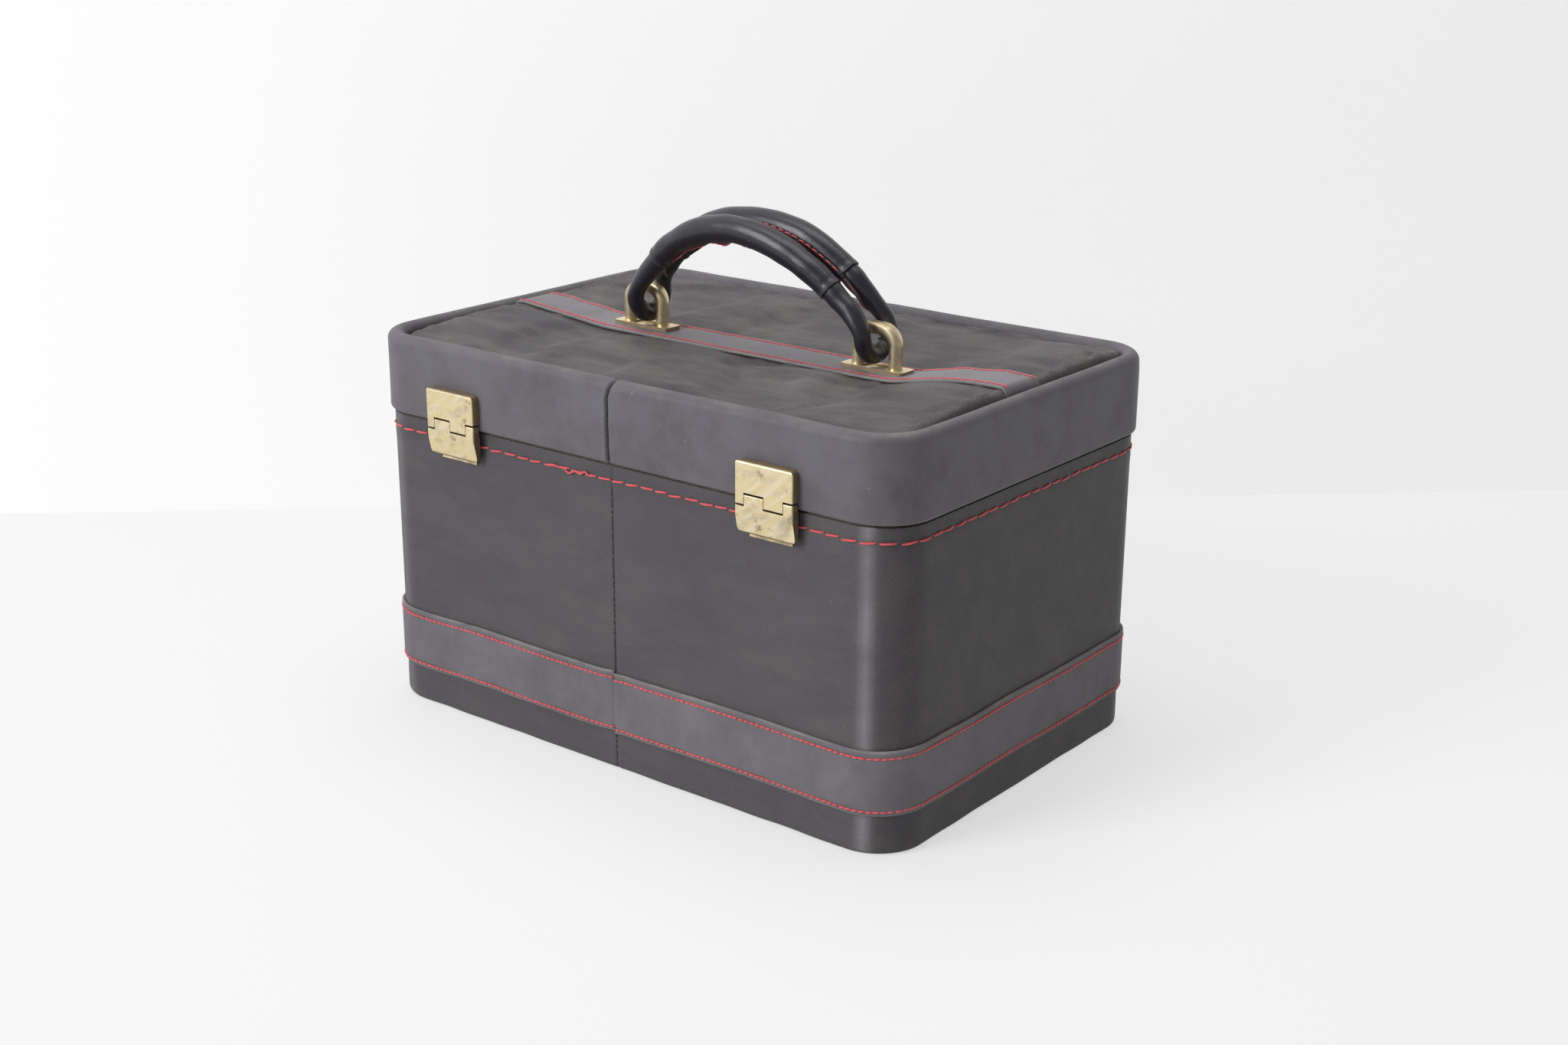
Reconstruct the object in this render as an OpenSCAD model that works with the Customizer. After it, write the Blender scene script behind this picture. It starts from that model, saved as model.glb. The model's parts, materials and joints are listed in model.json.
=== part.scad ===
// Vanity case with a fitted lid, rolled leather handle and two snap latches.
// Origin: on the floor under the middle of the body. +X is to the right, -Y is the front.

/* [Body] */
// Outside width of the body over its woven cover
body_w = 324; // [280:1:380]
// Outside depth of the body over its woven cover
body_d = 216; // [180:1:250]
// Radius of the upright corners
corner_r = 24; // [18:1:32]
// Height of the lid's lower edge above the floor
parting_z = 155; // [146:1:190]
// Radius of the rounded bottom edge
foot_r = 3; // [2.5:0.5:5]
// Thickness of the wall board
board_t = 3; // [2:0.5:4]
// Thickness of the bottom board
floor_t = 4; // [3:0.5:6]
// Thickness of the woven cover
cover_t = 1.2; // [0.8:0.1:1.6]
// Width of the woven cover turned under the bottom
turn_under = 12; // [9:1:16]
// Thickness of the lining
lining_t = 0.8; // [0.5:0.1:1]
// Height of the rim inside the lid
rim_rise = 11; // [9:1:13]
// Thickness of the binding over the rim
binding_t = 0.6; // [0.4:0.1:0.8]
// Thickness of the padded floor at its middle
floor_pad_h = 6; // [4:1:9]

/* [Foot band] */
// Height of the band's lower edge
band_z = 19.5; // [12:0.5:28]
// Width of the band
band_h = 31.5; // [24:0.5:40]
// Thickness of the band leather
band_t = 1.5; // [1:0.1:2]

/* [Lid] */
// How far the lid stands out past the body on each side
overhang = 2; // [1.8:0.1:4]
// Thickness of the lid leather
leather_t = 1.4; // [1:0.1:1.5]
// Thickness of the lid's side board
side_t = 1.5; // [1.2:0.1:2]
// Thickness of the lid's top board
top_t = 3; // [2.5:0.5:4]
// Height of the lid from its lower edge to the crest of its raised edge
lid_h = 40; // [38:1:50]
// Outer radius of the raised edge round the top
bead_r = 4.5; // [3.5:0.5:5.5]
// Radius of the lid's lower outer edge
hem_r = 2; // [1.6:0.1:2.5]
// Thickness of the padded top under the handle
pad_mid = 1.3; // [1:0.1:2]
// Rise of the padded top beside the strap
pad_swell = 0.9; // [0:0.1:3]
// Rise of the padded top towards its right end
puff_right = 7.5; // [0:0.5:9]
// Rise of the padded top towards its left end
puff_left = 5; // [0:0.5:9]
// Width of the leather strap along the top
strap_w = 27.5; // [20:0.5:36]
// Thickness of the strap
strap_t = 1.4; // [1:0.1:2]

/* [Mirror] */
// Width of the mirror glass
mirror_w = 200; // [120:1:230]
// Height of the mirror glass
mirror_d = 120; // [80:1:140]
// Thickness of the mirror glass
mirror_t = 2; // [1.5:0.5:3]

/* [Handle] */
// Distance from the middle to each staple
staple_x = 73; // [68:0.5:90]
// Diameter of the staple rod
staple_rod = 6.8; // [5:0.2:7]
// Distance between the two posts of a staple
staple_gap = 21.6; // [21:0.2:24]
// Height of the staple's rod axis above its plate
staple_rise = 18.9; // [18.9:0.1:24]
// Length of the brass plate under a staple
plate_l = 36; // [33:1:44]
// Width of that plate
plate_w = 11; // [9:0.5:14]
// Thickness of that plate
plate_t = 2; // [1.5:0.5:3]
// Height of the grip's crown above the staple rods
crown_h = 40.6; // [38:0.1:46]
// Height of the wrap's cuffs above the staple rods
cuff_h = 19.8; // [18:0.1:22]
// Distance of the cuffs inwards from the staples
cuff_in = 19.6; // [18:0.1:21]
// Distance between the two tubes of the grip
tube_gap = 14.4; // [13.8:0.1:16]
// Outer diameter of the wrapped tubes
wrap_d = 13.6; // [12.8:0.1:13.8]
// Wall of the wrap
wrap_t = 1.2; // [1:0.1:1.5]
// Radius of the leather loop's turn under the staple rod
loop_r = 10.5; // [10:0.1:11]
// Lean of the resting handle towards the front
handle_lean = 8; // [0:1:15]

/* [Latches] */
// Distance of each latch's middle from the side of the body
latch_side = 64; // [50:1:80]
// How far both latches sit to the left of even
latch_shift = 2.75; // [0:0.25:5]
// Width of a latch
latch_w = 32.4; // [26:0.2:40]
// Height of the latch pin above the lid's lower edge
latch_pin_rise = 1; // [1:0.2:3]
// Height of the fixed plate above the pin
latch_up = 17.5; // [17:0.5:22]
// Length of the flap below the pin
latch_down = 16.4; // [15:0.2:20]
// Depth of the latch face in front of its pin
latch_front_d = 1.9; // [1.7:0.1:2]
// Depth from the pin back to the lid's leather
latch_back_d = 2.6; // [2.6:0.1:3]
// Half height of the knuckles
lobe = 2.2; // [2:0.1:2.3]
// Diameter of the latch pin
latch_pin_d = 1.6; // [1.2:0.1:2]
// Sheet thickness of the latch parts
sheet_t = 1.2; // [1:0.1:1.4]

/* [Hinges] */
// Distance of each hinge's middle from the side of the body
hinge_side = 70; // [60:1:85]
// Width of a hinge
hinge_w = 45; // [35:1:60]
// Outer radius of the hinge barrel
barrel_r = 2.4; // [2.2:0.1:3]
// Diameter of the hinge pin
hinge_pin_d = 2; // [1.6:0.1:2.4]
// Thickness of the hinge leaves
leaf_t = 1.2; // [1:0.1:1.5]
// Height of a hinge leaf
leaf_h = 22; // [19:1:28]

/* [Stay] */
// Distance of the stay's studs in front of the hinge axis
stay_reach = 70; // [68:1:76]
// Height of the lid stud above, and the body stud below, the hinge axis
stay_rise = 20; // [19.5:0.1:20.5]
// Largest opening of the lid that the stay allows
lid_open = 95; // [85:1:96]
// Width of the stay arm
arm_w = 11; // [10:0.5:12]
// Thickness of the stay arm
arm_t = 1.4; // [1:0.1:1.6]
// Diameter of the stud in the slot
slot_pin_d = 4.6; // [4:0.1:5]

/* [Fits] */
// Running clearance round a pin
run_clear = 0.05; // [0.03:0.01:0.09]
// Gap between pieces that lie against each other
seat_gap = 0.3; // [0.2:0.05:0.4]
// Room for the lid's frame to swing past the rim
lid_play = 0.9; // [0.7:0.1:1.2]
// Diameter of the rivets
rivet_d = 2.6; // [2:0.1:3]
// Diameter of the rivet heads
rivet_head_d = 5; // [4:0.1:6]
// Height of the rivet heads
rivet_head_h = 0.9; // [0.6:0.1:1.2]

/* [Hidden] */
$fn = 64;

// Far enough to cut right through anything
reach = 400;
// Clearance of a rivet in its hole
rivet_clear = 0.05;

// Body levels and sizes
half_w = body_w / 2;
half_d = body_d / 2;
rim_z = parting_z + rim_rise;
binding_h = 12;
cover_top = parting_z - 1;
inner_w = body_w - 2 * (cover_t + board_t);
inner_d = body_d - 2 * (cover_t + board_t);
inner_r = corner_r - cover_t - board_t;
floor_z = cover_t + floor_t;
lining_top = rim_z - binding_h - seat_gap;
lining_inset = cover_t + board_t + lining_t;

// Lid levels and sizes
lid_w = body_w + 2 * overhang;
lid_d = body_d + 2 * overhang;
lid_r = corner_r + overhang;
crest_z = parting_z + lid_h;
bead_z = crest_z - bead_r;
board_top = bead_z - bead_r + leather_t;
board_low = board_top - top_t;
frame_inset = leather_t + side_t;
rim_step = max(0, frame_inset - overhang + lid_play + binding_t - cover_t);
ledge_z = rim_z + binding_t + seat_gap;
ledge_inset = overhang + lining_inset;
ledge_w = ledge_inset - frame_inset;
pad_inset = 2 * bead_r + 0.2;
pad_half_w = lid_w / 2 - pad_inset;
pad_half_d = lid_d / 2 - pad_inset;
pad_r = lid_r - pad_inset;
pad_edge_h = 1.6;
pad_roll = 9;
puff_start = staple_x + plate_l / 2 + 1;
puff_peak = pad_half_w - 8;
lid_lining_z = board_low - lining_t;

// Handle places
strap_lift = 0.2;
plate_z = board_top + pad_mid + strap_lift + strap_t;
rod_z = plate_z + plate_t + staple_rise;
post_off = staple_gap / 2;
tenon_d = 4;
tube_r = 5.4;
loop_half = 5;
loop_half_x = 4.2;
loop_shift = 1.6;
loop_x = staple_x - loop_shift;
loop_c = -3;
cuff_x = staple_x - cuff_in;
grip_sag = crown_h - cuff_h;
grip_r = (pow(cuff_x, 2) + pow(grip_sag, 2)) / (2 * grip_sag);
grip_c = crown_h - grip_r;
grip_angle = asin(cuff_x / grip_r);

// Latch places
pin_y = -(lid_d / 2 + latch_back_d);
pin_z = parting_z + latch_pin_rise;
latch_x = half_w - latch_side;
latch_places = [-latch_x - latch_shift, latch_x - latch_shift];
side_knuckle = 5.3;
latch_depth = latch_front_d + latch_back_d;
slot_edge = norm([latch_front_d, lobe]) + 0.2;
catch_w = latch_w - 8.4;
catch_t = 0.8;
nose_play = 0.4;
nose_d = overhang - catch_t - nose_play;
nose_z = pin_z - 9;
nose_w = catch_w - 8;

// Hinge places
hinge_y = lid_d / 2 + barrel_r + seat_gap;
hinge_z = parting_z;
hinge_x = half_w - hinge_side;
hinge_places = [-hinge_x, hinge_x];
knuckles = 5;
knuckle_w = hinge_w / knuckles;
body_face = half_d - hinge_y;
lid_face = lid_d / 2 - hinge_y;
rivet_rows = [-1, 0, 1];
rivet_margin = 6;
rivet_pitch = hinge_w / 2 - rivet_margin;
shank_rise = 3.5;

// Stay places: both studs lie on one circle about the hinge axis
stay_y = hinge_y - stay_reach;
stay_radius = sqrt(pow(stay_reach, 2) + pow(stay_rise, 2));
stay_shut = 2 * atan(stay_rise / stay_reach);
stay_long = 2 * stay_radius * sin((stay_shut + lid_open) / 2);
stay_wall = -(half_w - lining_inset);
stud_base_t = 1.2;
stud_step = 0.6;
arm_x = stay_wall + stud_base_t + stud_step;
lid_stud_d = 3.6;

// Flat shape with rounded corners
module rounded_rect(w, d, r) {
    square([w - 2 * r, d], center = true);
    square([w, d - 2 * r], center = true);
    for (sx = [-1, 1], sy = [-1, 1])
        translate([sx * (w / 2 - r), sy * (d / 2 - r)])
            circle(r);
}

// Upright wall that follows the rounded outline, t thick inwards
module wall_ring(w, d, r, t, z0, z1) {
    translate([0, 0, z0])
        linear_extrude(z1 - z0)
            difference() {
                rounded_rect(w, d, r);
                rounded_rect(w - 2 * t, d - 2 * t, r - t);
            }
}

module slab(w, d, r, z0, z1) {
    translate([0, 0, z0])
        linear_extrude(z1 - z0)
            rounded_rect(w, d, r);
}

// Carries a profile round the outline: x = 0 is the outer face, x < 0 is inwards, y is height
module around(w, d, r) {
    for (k = [0, 1])
        rotate([0, 0, 180 * k]) {
            translate([w / 2 - r, d / 2 - r, 0])
                rotate_extrude(angle = 90)
                    translate([r, 0])
                        children();
            translate([w / 2 - r, r - d / 2, 0])
                rotate([0, 0, -90])
                    rotate_extrude(angle = 90)
                        translate([r, 0])
                            children();
            translate([w / 2, d / 2 - r, 0])
                rotate([90, 0, 0])
                    linear_extrude(d - 2 * r)
                        children();
            rotate([0, 0, 90])
                translate([d / 2, w / 2 - r, 0])
                    rotate([90, 0, 0])
                        linear_extrude(w - 2 * r)
                            children();
        }
}

// Keeps the half of a ring on one side of the middle seam
module half(side) {
    intersection() {
        children();
        translate([side > 0 ? 0 : -reach, -reach, -reach])
            cube([reach, 2 * reach, 2 * reach]);
    }
}

// Quarter ring between two radii, in the quadrant given by the signs
module quarter_ring(r, t, sx, sy) {
    intersection() {
        difference() {
            circle(r);
            circle(r - t);
        }
        translate([sx > 0 ? 0 : -r, sy > 0 ? 0 : -r])
            square(r);
    }
}

// Wall board t thick from z0 up to z1, its lower outer edge rounded by r
module board_profile(t, r, z0, z1) {
    translate([-t, z0 + r])
        square([t, z1 - z0 - r]);
    translate([-t, z0])
        square([t - r, r]);
    translate([-r, z0 + r])
        intersection() {
            circle(r);
            translate([0, -r])
                square(r);
        }
}

// Cylinder along X, centred on x0
module bar_x(x0, len, d) {
    translate([x0 - len / 2, 0, 0])
        rotate([0, 90, 0])
            cylinder(h = len, d = d);
}

// Straight hole or shank along Y, from y0 towards +Y
module bar_y(x, y0, z, len, d) {
    translate([x, y0, z])
        rotate([-90, 0, 0])
            cylinder(h = len, d = d);
}

// Low domed head on an axis along Y, its flat side at y0, bulging the way of side
module dome_y(x, y0, z, d, h, side) {
    ball = (pow(d / 2, 2) + pow(h, 2)) / (2 * h);
    translate([x, y0, z])
        rotate([side > 0 ? -90 : 90, 0, 0])
            rotate_extrude()
                intersection() {
                    translate([0, h - ball])
                        circle(ball);
                    square([d / 2, h]);
                }
}

// Places of the rivets of the hinge leaves, as x and z; up is +1 for the lid leaf
function rivet_level(up) = up > 0 ? ledge_z + shank_rise : hinge_z - leaf_h + rivet_margin;
function leaf_rivets(up) = [for (x = hinge_places, k = rivet_rows) [x + k * rivet_pitch, rivet_level(up)]];

// Places of the rivets of the catches
catch_rivet_z = nose_z - 6.3;
catch_rivet_off = catch_w / 2 - 3.5;
catch_rivet_places = [
    for (x = latch_places, s = [-1, 1])
        [x + s * catch_rivet_off, catch_rivet_z]
];

// Places of the studs behind the latch plates
stud_d = 2.4;
stud_z = ledge_z + shank_rise;
stud_off = latch_w / 2 - 7.5;
stud_places = [
    for (x = latch_places, s = [-1, 1])
        [x + s * stud_off, stud_z]
];

// Cuts for every rivet and stud that passes through the walls
module body_holes() {
    for (p = leaf_rivets(-1))
        bar_y(p[0], 0, p[1], reach, rivet_d + 2 * rivet_clear);
    for (p = catch_rivet_places)
        bar_y(p[0], -reach, p[1], reach, rivet_d + 2 * rivet_clear);
}

module lid_holes() {
    for (p = leaf_rivets(1))
        bar_y(p[0], 0, p[1], reach, rivet_d + 2 * rivet_clear);
    for (p = stud_places)
        bar_y(p[0], -reach, p[1], reach, stud_d + 2 * rivet_clear);
}

// Holes for the staples' tenons
module tenon_holes(z0, z1) {
    for (side = [-1, 1], s = [-1, 1])
        translate([side * staple_x + s * post_off, 0, z0])
            cylinder(h = z1 - z0, d = tenon_d + 2 * rivet_clear);
}

// Case body

// The rim stands back from the wall, so that the lid's frame closes round it
module rim_profile() {
    translate([-board_t, cover_top - board_t])
        square([board_t - rim_step, rim_z - cover_top + board_t]);
}

module body_board() {
    color("burlywood")
        difference() {
            around(body_w - 2 * cover_t, body_d - 2 * cover_t, corner_r - cover_t) {
                board_profile(board_t, foot_r - cover_t, cover_t, cover_top);
                rim_profile();
            }
            body_holes();
        }
}

module base_board() {
    color("burlywood")
        slab(inner_w, inner_d, inner_r, cover_t, floor_z);
}

module bottom_cover() {
    inset = turn_under + seat_gap;
    color("#26262a")
        slab(body_w - 2 * inset, body_d - 2 * inset, corner_r - inset, 0, cover_t);
}

// Strip that rises from the bottom edge and turns under the case
module cover_profile() {
    translate([-cover_t, foot_r])
        square([cover_t, cover_top - foot_r]);
    translate([-turn_under, 0])
        square([turn_under - foot_r, cover_t]);
    translate([-foot_r, foot_r])
        quarter_ring(foot_r, cover_t, 1, -1);
}

module body_cover(side) {
    color("#2c2c30")
        difference() {
            half(side)
                around(body_w, body_d, corner_r)
                    cover_profile();
            body_holes();
        }
}

module foot_band(side) {
    color("#34363c")
        half(side)
            wall_ring(body_w + 2 * band_t, body_d + 2 * band_t, corner_r + band_t, band_t,
                band_z, band_z + band_h);
}

// Folded over the rim: x = 0 is the outer face of the wall board
module binding_profile() {
    translate([-rim_step, cover_top + seat_gap])
        square([binding_t, rim_z - cover_top - seat_gap + binding_t]);
    translate([-board_t, rim_z])
        square([board_t - rim_step, binding_t]);
    translate([-board_t - binding_t, rim_z - binding_h])
        square([binding_t, binding_h + binding_t]);
}

module rim_binding() {
    color("#1e1e22")
        around(body_w - 2 * cover_t, body_d - 2 * cover_t, corner_r - cover_t)
            binding_profile();
}

module body_lining() {
    color("#8a7f74")
        difference() {
            wall_ring(inner_w, inner_d, inner_r, lining_t, floor_z, lining_top);
            body_holes();
        }
}

// Height field over a rounded outline, closed by a flat underside at z0, in columns at the
// places xs. Rows crowd towards the edges, where the surface rolls down.
function crowd(t) = sin(90 * t);
function edge_half(x, hw, hd, r) =
    abs(x) <= hw - r ? hd : hd - r + sqrt(max(0, pow(r, 2) - pow(abs(x) - hw + r, 2)));

module cushion(xs, hw, hd, r, z0, ny, top) {
    nx = len(xs) - 1;
    ahead = [for (x = xs) [x, edge_half(x, hw, hd, r)]];
    upper = [for (c = ahead, j = [0:ny]) let (y = c[1] * crowd(2 * j / ny - 1)) [c[0], y, top(c[0], y)]];
    front = [for (c = ahead) [c[0], -c[1], z0]];
    back = [for (c = ahead) [c[0], c[1], z0]];
    row = ny + 1;
    f0 = len(upper);
    b0 = f0 + nx + 1;
    faces = [
        for (i = [0:nx - 1], j = [0:ny - 1]) each [
            [i * row + j, i * row + j + 1, (i + 1) * row + j + 1],
            [i * row + j, (i + 1) * row + j + 1, (i + 1) * row + j]
        ],
        for (i = [0:nx - 1]) each [
            [f0 + i, i * row, (i + 1) * row],
            [f0 + i, (i + 1) * row, f0 + i + 1],
            [b0 + i, b0 + i + 1, (i + 1) * row + ny],
            [b0 + i, (i + 1) * row + ny, i * row + ny],
            [f0 + i, f0 + i + 1, b0 + i + 1],
            [f0 + i, b0 + i + 1, b0 + i]
        ],
        for (j = [0:ny - 1]) each [
            [f0, j + 1, j],
            [f0 + nx, nx * row + j, nx * row + j + 1]
        ],
        [f0, b0, ny],
        [f0 + nx, nx * row + ny, b0 + nx]
    ];
    polyhedron(points = concat(upper, front, back), faces = faces);
}

// Distance from a point to the rounded outline, measured inwards
function inset_of(x, y, hw, hd, r) =
    let (qx = abs(x) - hw + r, qy = abs(y) - hd + r)
    r - (qx > 0 && qy > 0 ? sqrt(qx * qx + qy * qy) : max(qx, qy));
function ease(t) = let (s = min(1, max(0, t))) s * s * (3 - 2 * s);
function roll(d, w) = let (s = min(1, max(0, d / w))) sqrt(1 - pow(1 - s, 2));

floor_half_w = inner_w / 2 - lining_t - seat_gap;
floor_half_d = inner_d / 2 - lining_t - seat_gap;
floor_pad_r = inner_r - lining_t - seat_gap;
floor_edge_h = 2;

floor_roll = 30;

module floor_pad() {
    xs = [for (t = [-1:0.125:1]) floor_half_w * crowd(t)];
    color("#8a7f74")
        cushion(xs, floor_half_w, floor_half_d, floor_pad_r, floor_z, 12,
            function (x, y) floor_z + floor_edge_h + (floor_pad_h - floor_edge_h)
                * roll(inset_of(x, y, floor_half_w, floor_half_d, floor_pad_r), floor_roll));
}

// Hinges

// Side outline of the leaf on the body, in the hinge axis's own place
module body_leaf_profile() {
    f = body_face;
    polygon([
        [f, -leaf_h], [f + leaf_t, -leaf_h], [f + leaf_t, -3 * barrel_r],
        [0, -barrel_r], [-0.75 * barrel_r, -0.66 * barrel_r], [f, -2.35 * barrel_r]
    ]);
    circle(barrel_r);
}

module lid_leaf_profile() {
    f = lid_face;
    polygon([
        [f, 1.5 * barrel_r], [-0.75 * barrel_r, 0.66 * barrel_r], [0, barrel_r],
        [f + leaf_t, 2.2 * barrel_r], [f + leaf_t, leaf_h], [f, leaf_h]
    ]);
    circle(barrel_r);
}

// Barrel zones that belong to the other leaf, cut with room to turn
module knuckle_cuts(first) {
    for (k = [first:2:knuckles - 1])
        bar_x((k - (knuckles - 1) / 2) * knuckle_w, knuckle_w + seat_gap, 2 * (barrel_r + seat_gap));
}

module hinge_leaf(x, up) {
    translate([x, hinge_y, hinge_z])
        difference() {
            rotate([90, 0, 90])
                translate([0, 0, -hinge_w / 2])
                    linear_extrude(hinge_w)
                        if (up > 0) lid_leaf_profile(); else body_leaf_profile();
            knuckle_cuts(up > 0 ? 0 : 1);
            bar_x(0, 2 * hinge_w, hinge_pin_d + 2 * run_clear);
            for (k = rivet_rows)
                bar_y(k * rivet_pitch, -reach / 2, rivet_level(up) - hinge_z, reach, rivet_d + 2 * rivet_clear);
        }
}

module hinge_body_leaf(x) {
    color("#b08d4a")
        hinge_leaf(x, -1);
}

module hinge_lid_leaf(x) {
    color("#b08d4a")
        hinge_leaf(x, 1);
}

module hinge_pin(x) {
    head_d = 1.6 * hinge_pin_d;
    head_t = 0.5 * hinge_pin_d;
    color("#b08d4a")
        translate([x, hinge_y, hinge_z]) {
            bar_x(0, hinge_w + 2 * run_clear, hinge_pin_d);
            for (s = [-1, 1])
                bar_x(s * (hinge_w / 2 + run_clear + head_t / 2), head_t, head_d);
        }
}

// Rivets through a wall from y0 to y1, with a domed head outside and a flat clinch inside
module wall_rivets(places, y_out, y_in) {
    side = y_out > y_in ? 1 : -1;
    for (p = places) {
        bar_y(p[0], min(y_out, y_in), p[1], abs(y_out - y_in), rivet_d);
        dome_y(p[0], y_out, p[1], rivet_head_d, rivet_head_h, side);
        bar_y(p[0], side > 0 ? y_in - rivet_head_h : y_in, p[1], rivet_head_h, rivet_head_d);
    }
}

module hinge_body_rivets() {
    color("#a07e3c")
        wall_rivets(leaf_rivets(-1), half_d + leaf_t, half_d - lining_inset);
}

module hinge_lid_rivets() {
    color("#a07e3c")
        wall_rivets(leaf_rivets(1), lid_d / 2 + leaf_t, lid_d / 2 - ledge_inset);
}

// Lid

module lid_frame() {
    color("burlywood")
        difference() {
            around(lid_w - 2 * leather_t, lid_d - 2 * leather_t, lid_r - leather_t)
                board_profile(side_t, hem_r - leather_t, parting_z + leather_t, board_top);
            lid_holes();
        }
}

module lid_board() {
    inset = frame_inset;
    color("burlywood")
        difference() {
            slab(lid_w - 2 * inset, lid_d - 2 * inset, lid_r - inset, board_low, board_top);
            tenon_holes(board_low - 1, board_top + 1);
            for (side = [-1, 1])
                translate([side * staple_x, 0, board_low - 1])
                    linear_extrude(1 + backing_t + seat_gap / 2)
                        rounded_rect(plate_l + 0.2, plate_w + 0.2, 1.6);
        }
}

module lid_ledge() {
    inset = frame_inset;
    color("#6f6258")
        difference() {
            wall_ring(lid_w - 2 * inset, lid_d - 2 * inset, lid_r - inset, ledge_w, ledge_z, board_low);
            lid_holes();
        }
}

// Leather of the lid: turned under the lower edge, up the side and over the piping
module lid_leather_profile() {
    translate([-leather_t, parting_z + hem_r])
        square([leather_t, bead_z - parting_z - hem_r]);
    translate([-frame_inset, parting_z])
        square([frame_inset - hem_r, leather_t]);
    translate([-hem_r, parting_z + hem_r])
        quarter_ring(hem_r, leather_t, 1, -1);
    translate([-bead_r, bead_z]) {
        quarter_ring(bead_r, leather_t, 1, 1);
        quarter_ring(bead_r, leather_t, -1, 1);
    }
    translate([-2 * bead_r, board_top])
        square([leather_t, bead_z - board_top]);
}

module lid_band(side) {
    color("#222226")
        difference() {
            half(side)
                around(lid_w, lid_d, lid_r)
                    lid_leather_profile();
            lid_holes();
        }
}

module rim_piping() {
    cord_r = bead_r - leather_t - run_clear;
    color("#9a8f80")
        around(lid_w, lid_d, lid_r)
            translate([-bead_r, bead_z])
                circle(cord_r);
}

// Top of the padded cloth: flat where the strap and plates press it, swollen beside the strap,
// puffed towards both ends, and rolled down to the raised edge
function puff(x) =
    let (t = min(1, max(0, (abs(x) - puff_start) / (puff_peak - puff_start))))
    x > 0 ? puff_right * (1 - pow(1 - t, 2)) : puff_left * t;
function pad_top(x, y) =
    let (
        d = inset_of(x, y, pad_half_w, pad_half_d, pad_r),
        side = ease((abs(y) - strap_w / 2) / 16),
        across = 1 - pow(abs(y) / pad_half_d, 3),
        h = pad_mid + pad_swell * side + puff(x) * across
    )
    board_top + pad_edge_h + (h - pad_edge_h) * roll(d, pad_roll);

// Columns of the padded top: a few over the flat middle, and crowding towards both ends
pad_mid_cols = 6;
pad_end_cols = 14;
function pad_columns(half) =
    let (ends = [for (i = [0:pad_end_cols]) puff_start + (half - puff_start) * crowd(i / pad_end_cols)])
    concat(
        [for (i = [pad_end_cols:-1:0]) -ends[i]],
        [for (i = [1:pad_mid_cols - 1]) puff_start * (2 * i / pad_mid_cols - 1)],
        ends
    );

module lid_pad() {
    color("#34322f")
        difference() {
            cushion(pad_columns(pad_half_w), pad_half_w, pad_half_d, pad_r, board_top, 24,
                function (x, y) pad_top(x, y));
            tenon_holes(board_top - 1, board_top + 2 * pad_mid + 1);
        }
}

module lid_strap() {
    xs = pad_columns(pad_half_w - seat_gap);
    cols = len(xs) - 1;
    ys = [for (k = [-1:0.5:1]) k * strap_w / 2];
    n = len(ys);
    low = [for (x = xs, y = ys) [x, y, pad_top(x, y) + strap_lift]];
    high = [for (p = low) p + [0, 0, strap_t]];
    m = len(low);
    faces = [
        for (i = [0:cols - 1], j = [0:n - 2]) each [
            [m + i * n + j, m + i * n + j + 1, m + (i + 1) * n + j + 1],
            [m + i * n + j, m + (i + 1) * n + j + 1, m + (i + 1) * n + j],
            [i * n + j, (i + 1) * n + j + 1, i * n + j + 1],
            [i * n + j, (i + 1) * n + j, (i + 1) * n + j + 1]
        ],
        for (i = [0:cols - 1]) each [
            [i * n, m + i * n, m + (i + 1) * n],
            [i * n, m + (i + 1) * n, (i + 1) * n],
            [(i + 1) * n + n - 1, m + (i + 1) * n + n - 1, m + i * n + n - 1],
            [(i + 1) * n + n - 1, m + i * n + n - 1, i * n + n - 1]
        ],
        for (j = [0:n - 2]) each [
            [j, m + j + 1, m + j],
            [j, j + 1, m + j + 1],
            [m - n + j, 2 * m - n + j, 2 * m - n + j + 1],
            [m - n + j, 2 * m - n + j + 1, m - n + j + 1]
        ]
    ];
    color("#2b2c31")
        difference() {
            polyhedron(points = concat(low, high), faces = faces);
            tenon_holes(board_top, plate_z + 1);
        }
}

module lid_lining() {
    inset = ledge_inset + 0.2;
    color("#8a7f74")
        slab(lid_w - 2 * inset, lid_d - 2 * inset, lid_r - inset, lid_lining_z, board_low);
}

// Mirror held to the lid's lining by a frame with a lip
mirror_rim = 7;
mirror_lip = 2;
mirror_lip_t = 1;
mirror_r = 10;

module mirror_frame() {
    w = mirror_w + 2 * mirror_rim;
    d = mirror_d + 2 * mirror_rim;
    low = lid_lining_z - mirror_t - mirror_lip_t;
    color("#b08d4a")
        difference() {
            slab(w, d, mirror_r + mirror_rim, low, lid_lining_z);
            slab(mirror_w + 0.2, mirror_d + 0.2, mirror_r + 0.1, low + mirror_lip_t, lid_lining_z + 1);
            slab(mirror_w - 2 * mirror_lip, mirror_d - 2 * mirror_lip, mirror_r - mirror_lip, low - 1,
                lid_lining_z);
        }
}

module mirror_glass() {
    color("silver")
        slab(mirror_w, mirror_d, mirror_r, lid_lining_z - mirror_t, lid_lining_z);
}

// Handle fittings

// Plate with a shallow recess between the posts and clipped corners
module handle_plate(side) {
    slot_l = staple_gap - staple_rod - 1;
    color("#b9994f")
        difference() {
            translate([side * staple_x, 0, plate_z])
                linear_extrude(plate_t)
                    rounded_rect(plate_l, plate_w, 1.5);
            translate([side * staple_x, 0, plate_z + plate_t / 2])
                linear_extrude(plate_t)
                    square([slot_l, plate_w - 4.5], center = true);
            tenon_holes(plate_z - 1, plate_z + plate_t + 1);
        }
}

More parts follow.
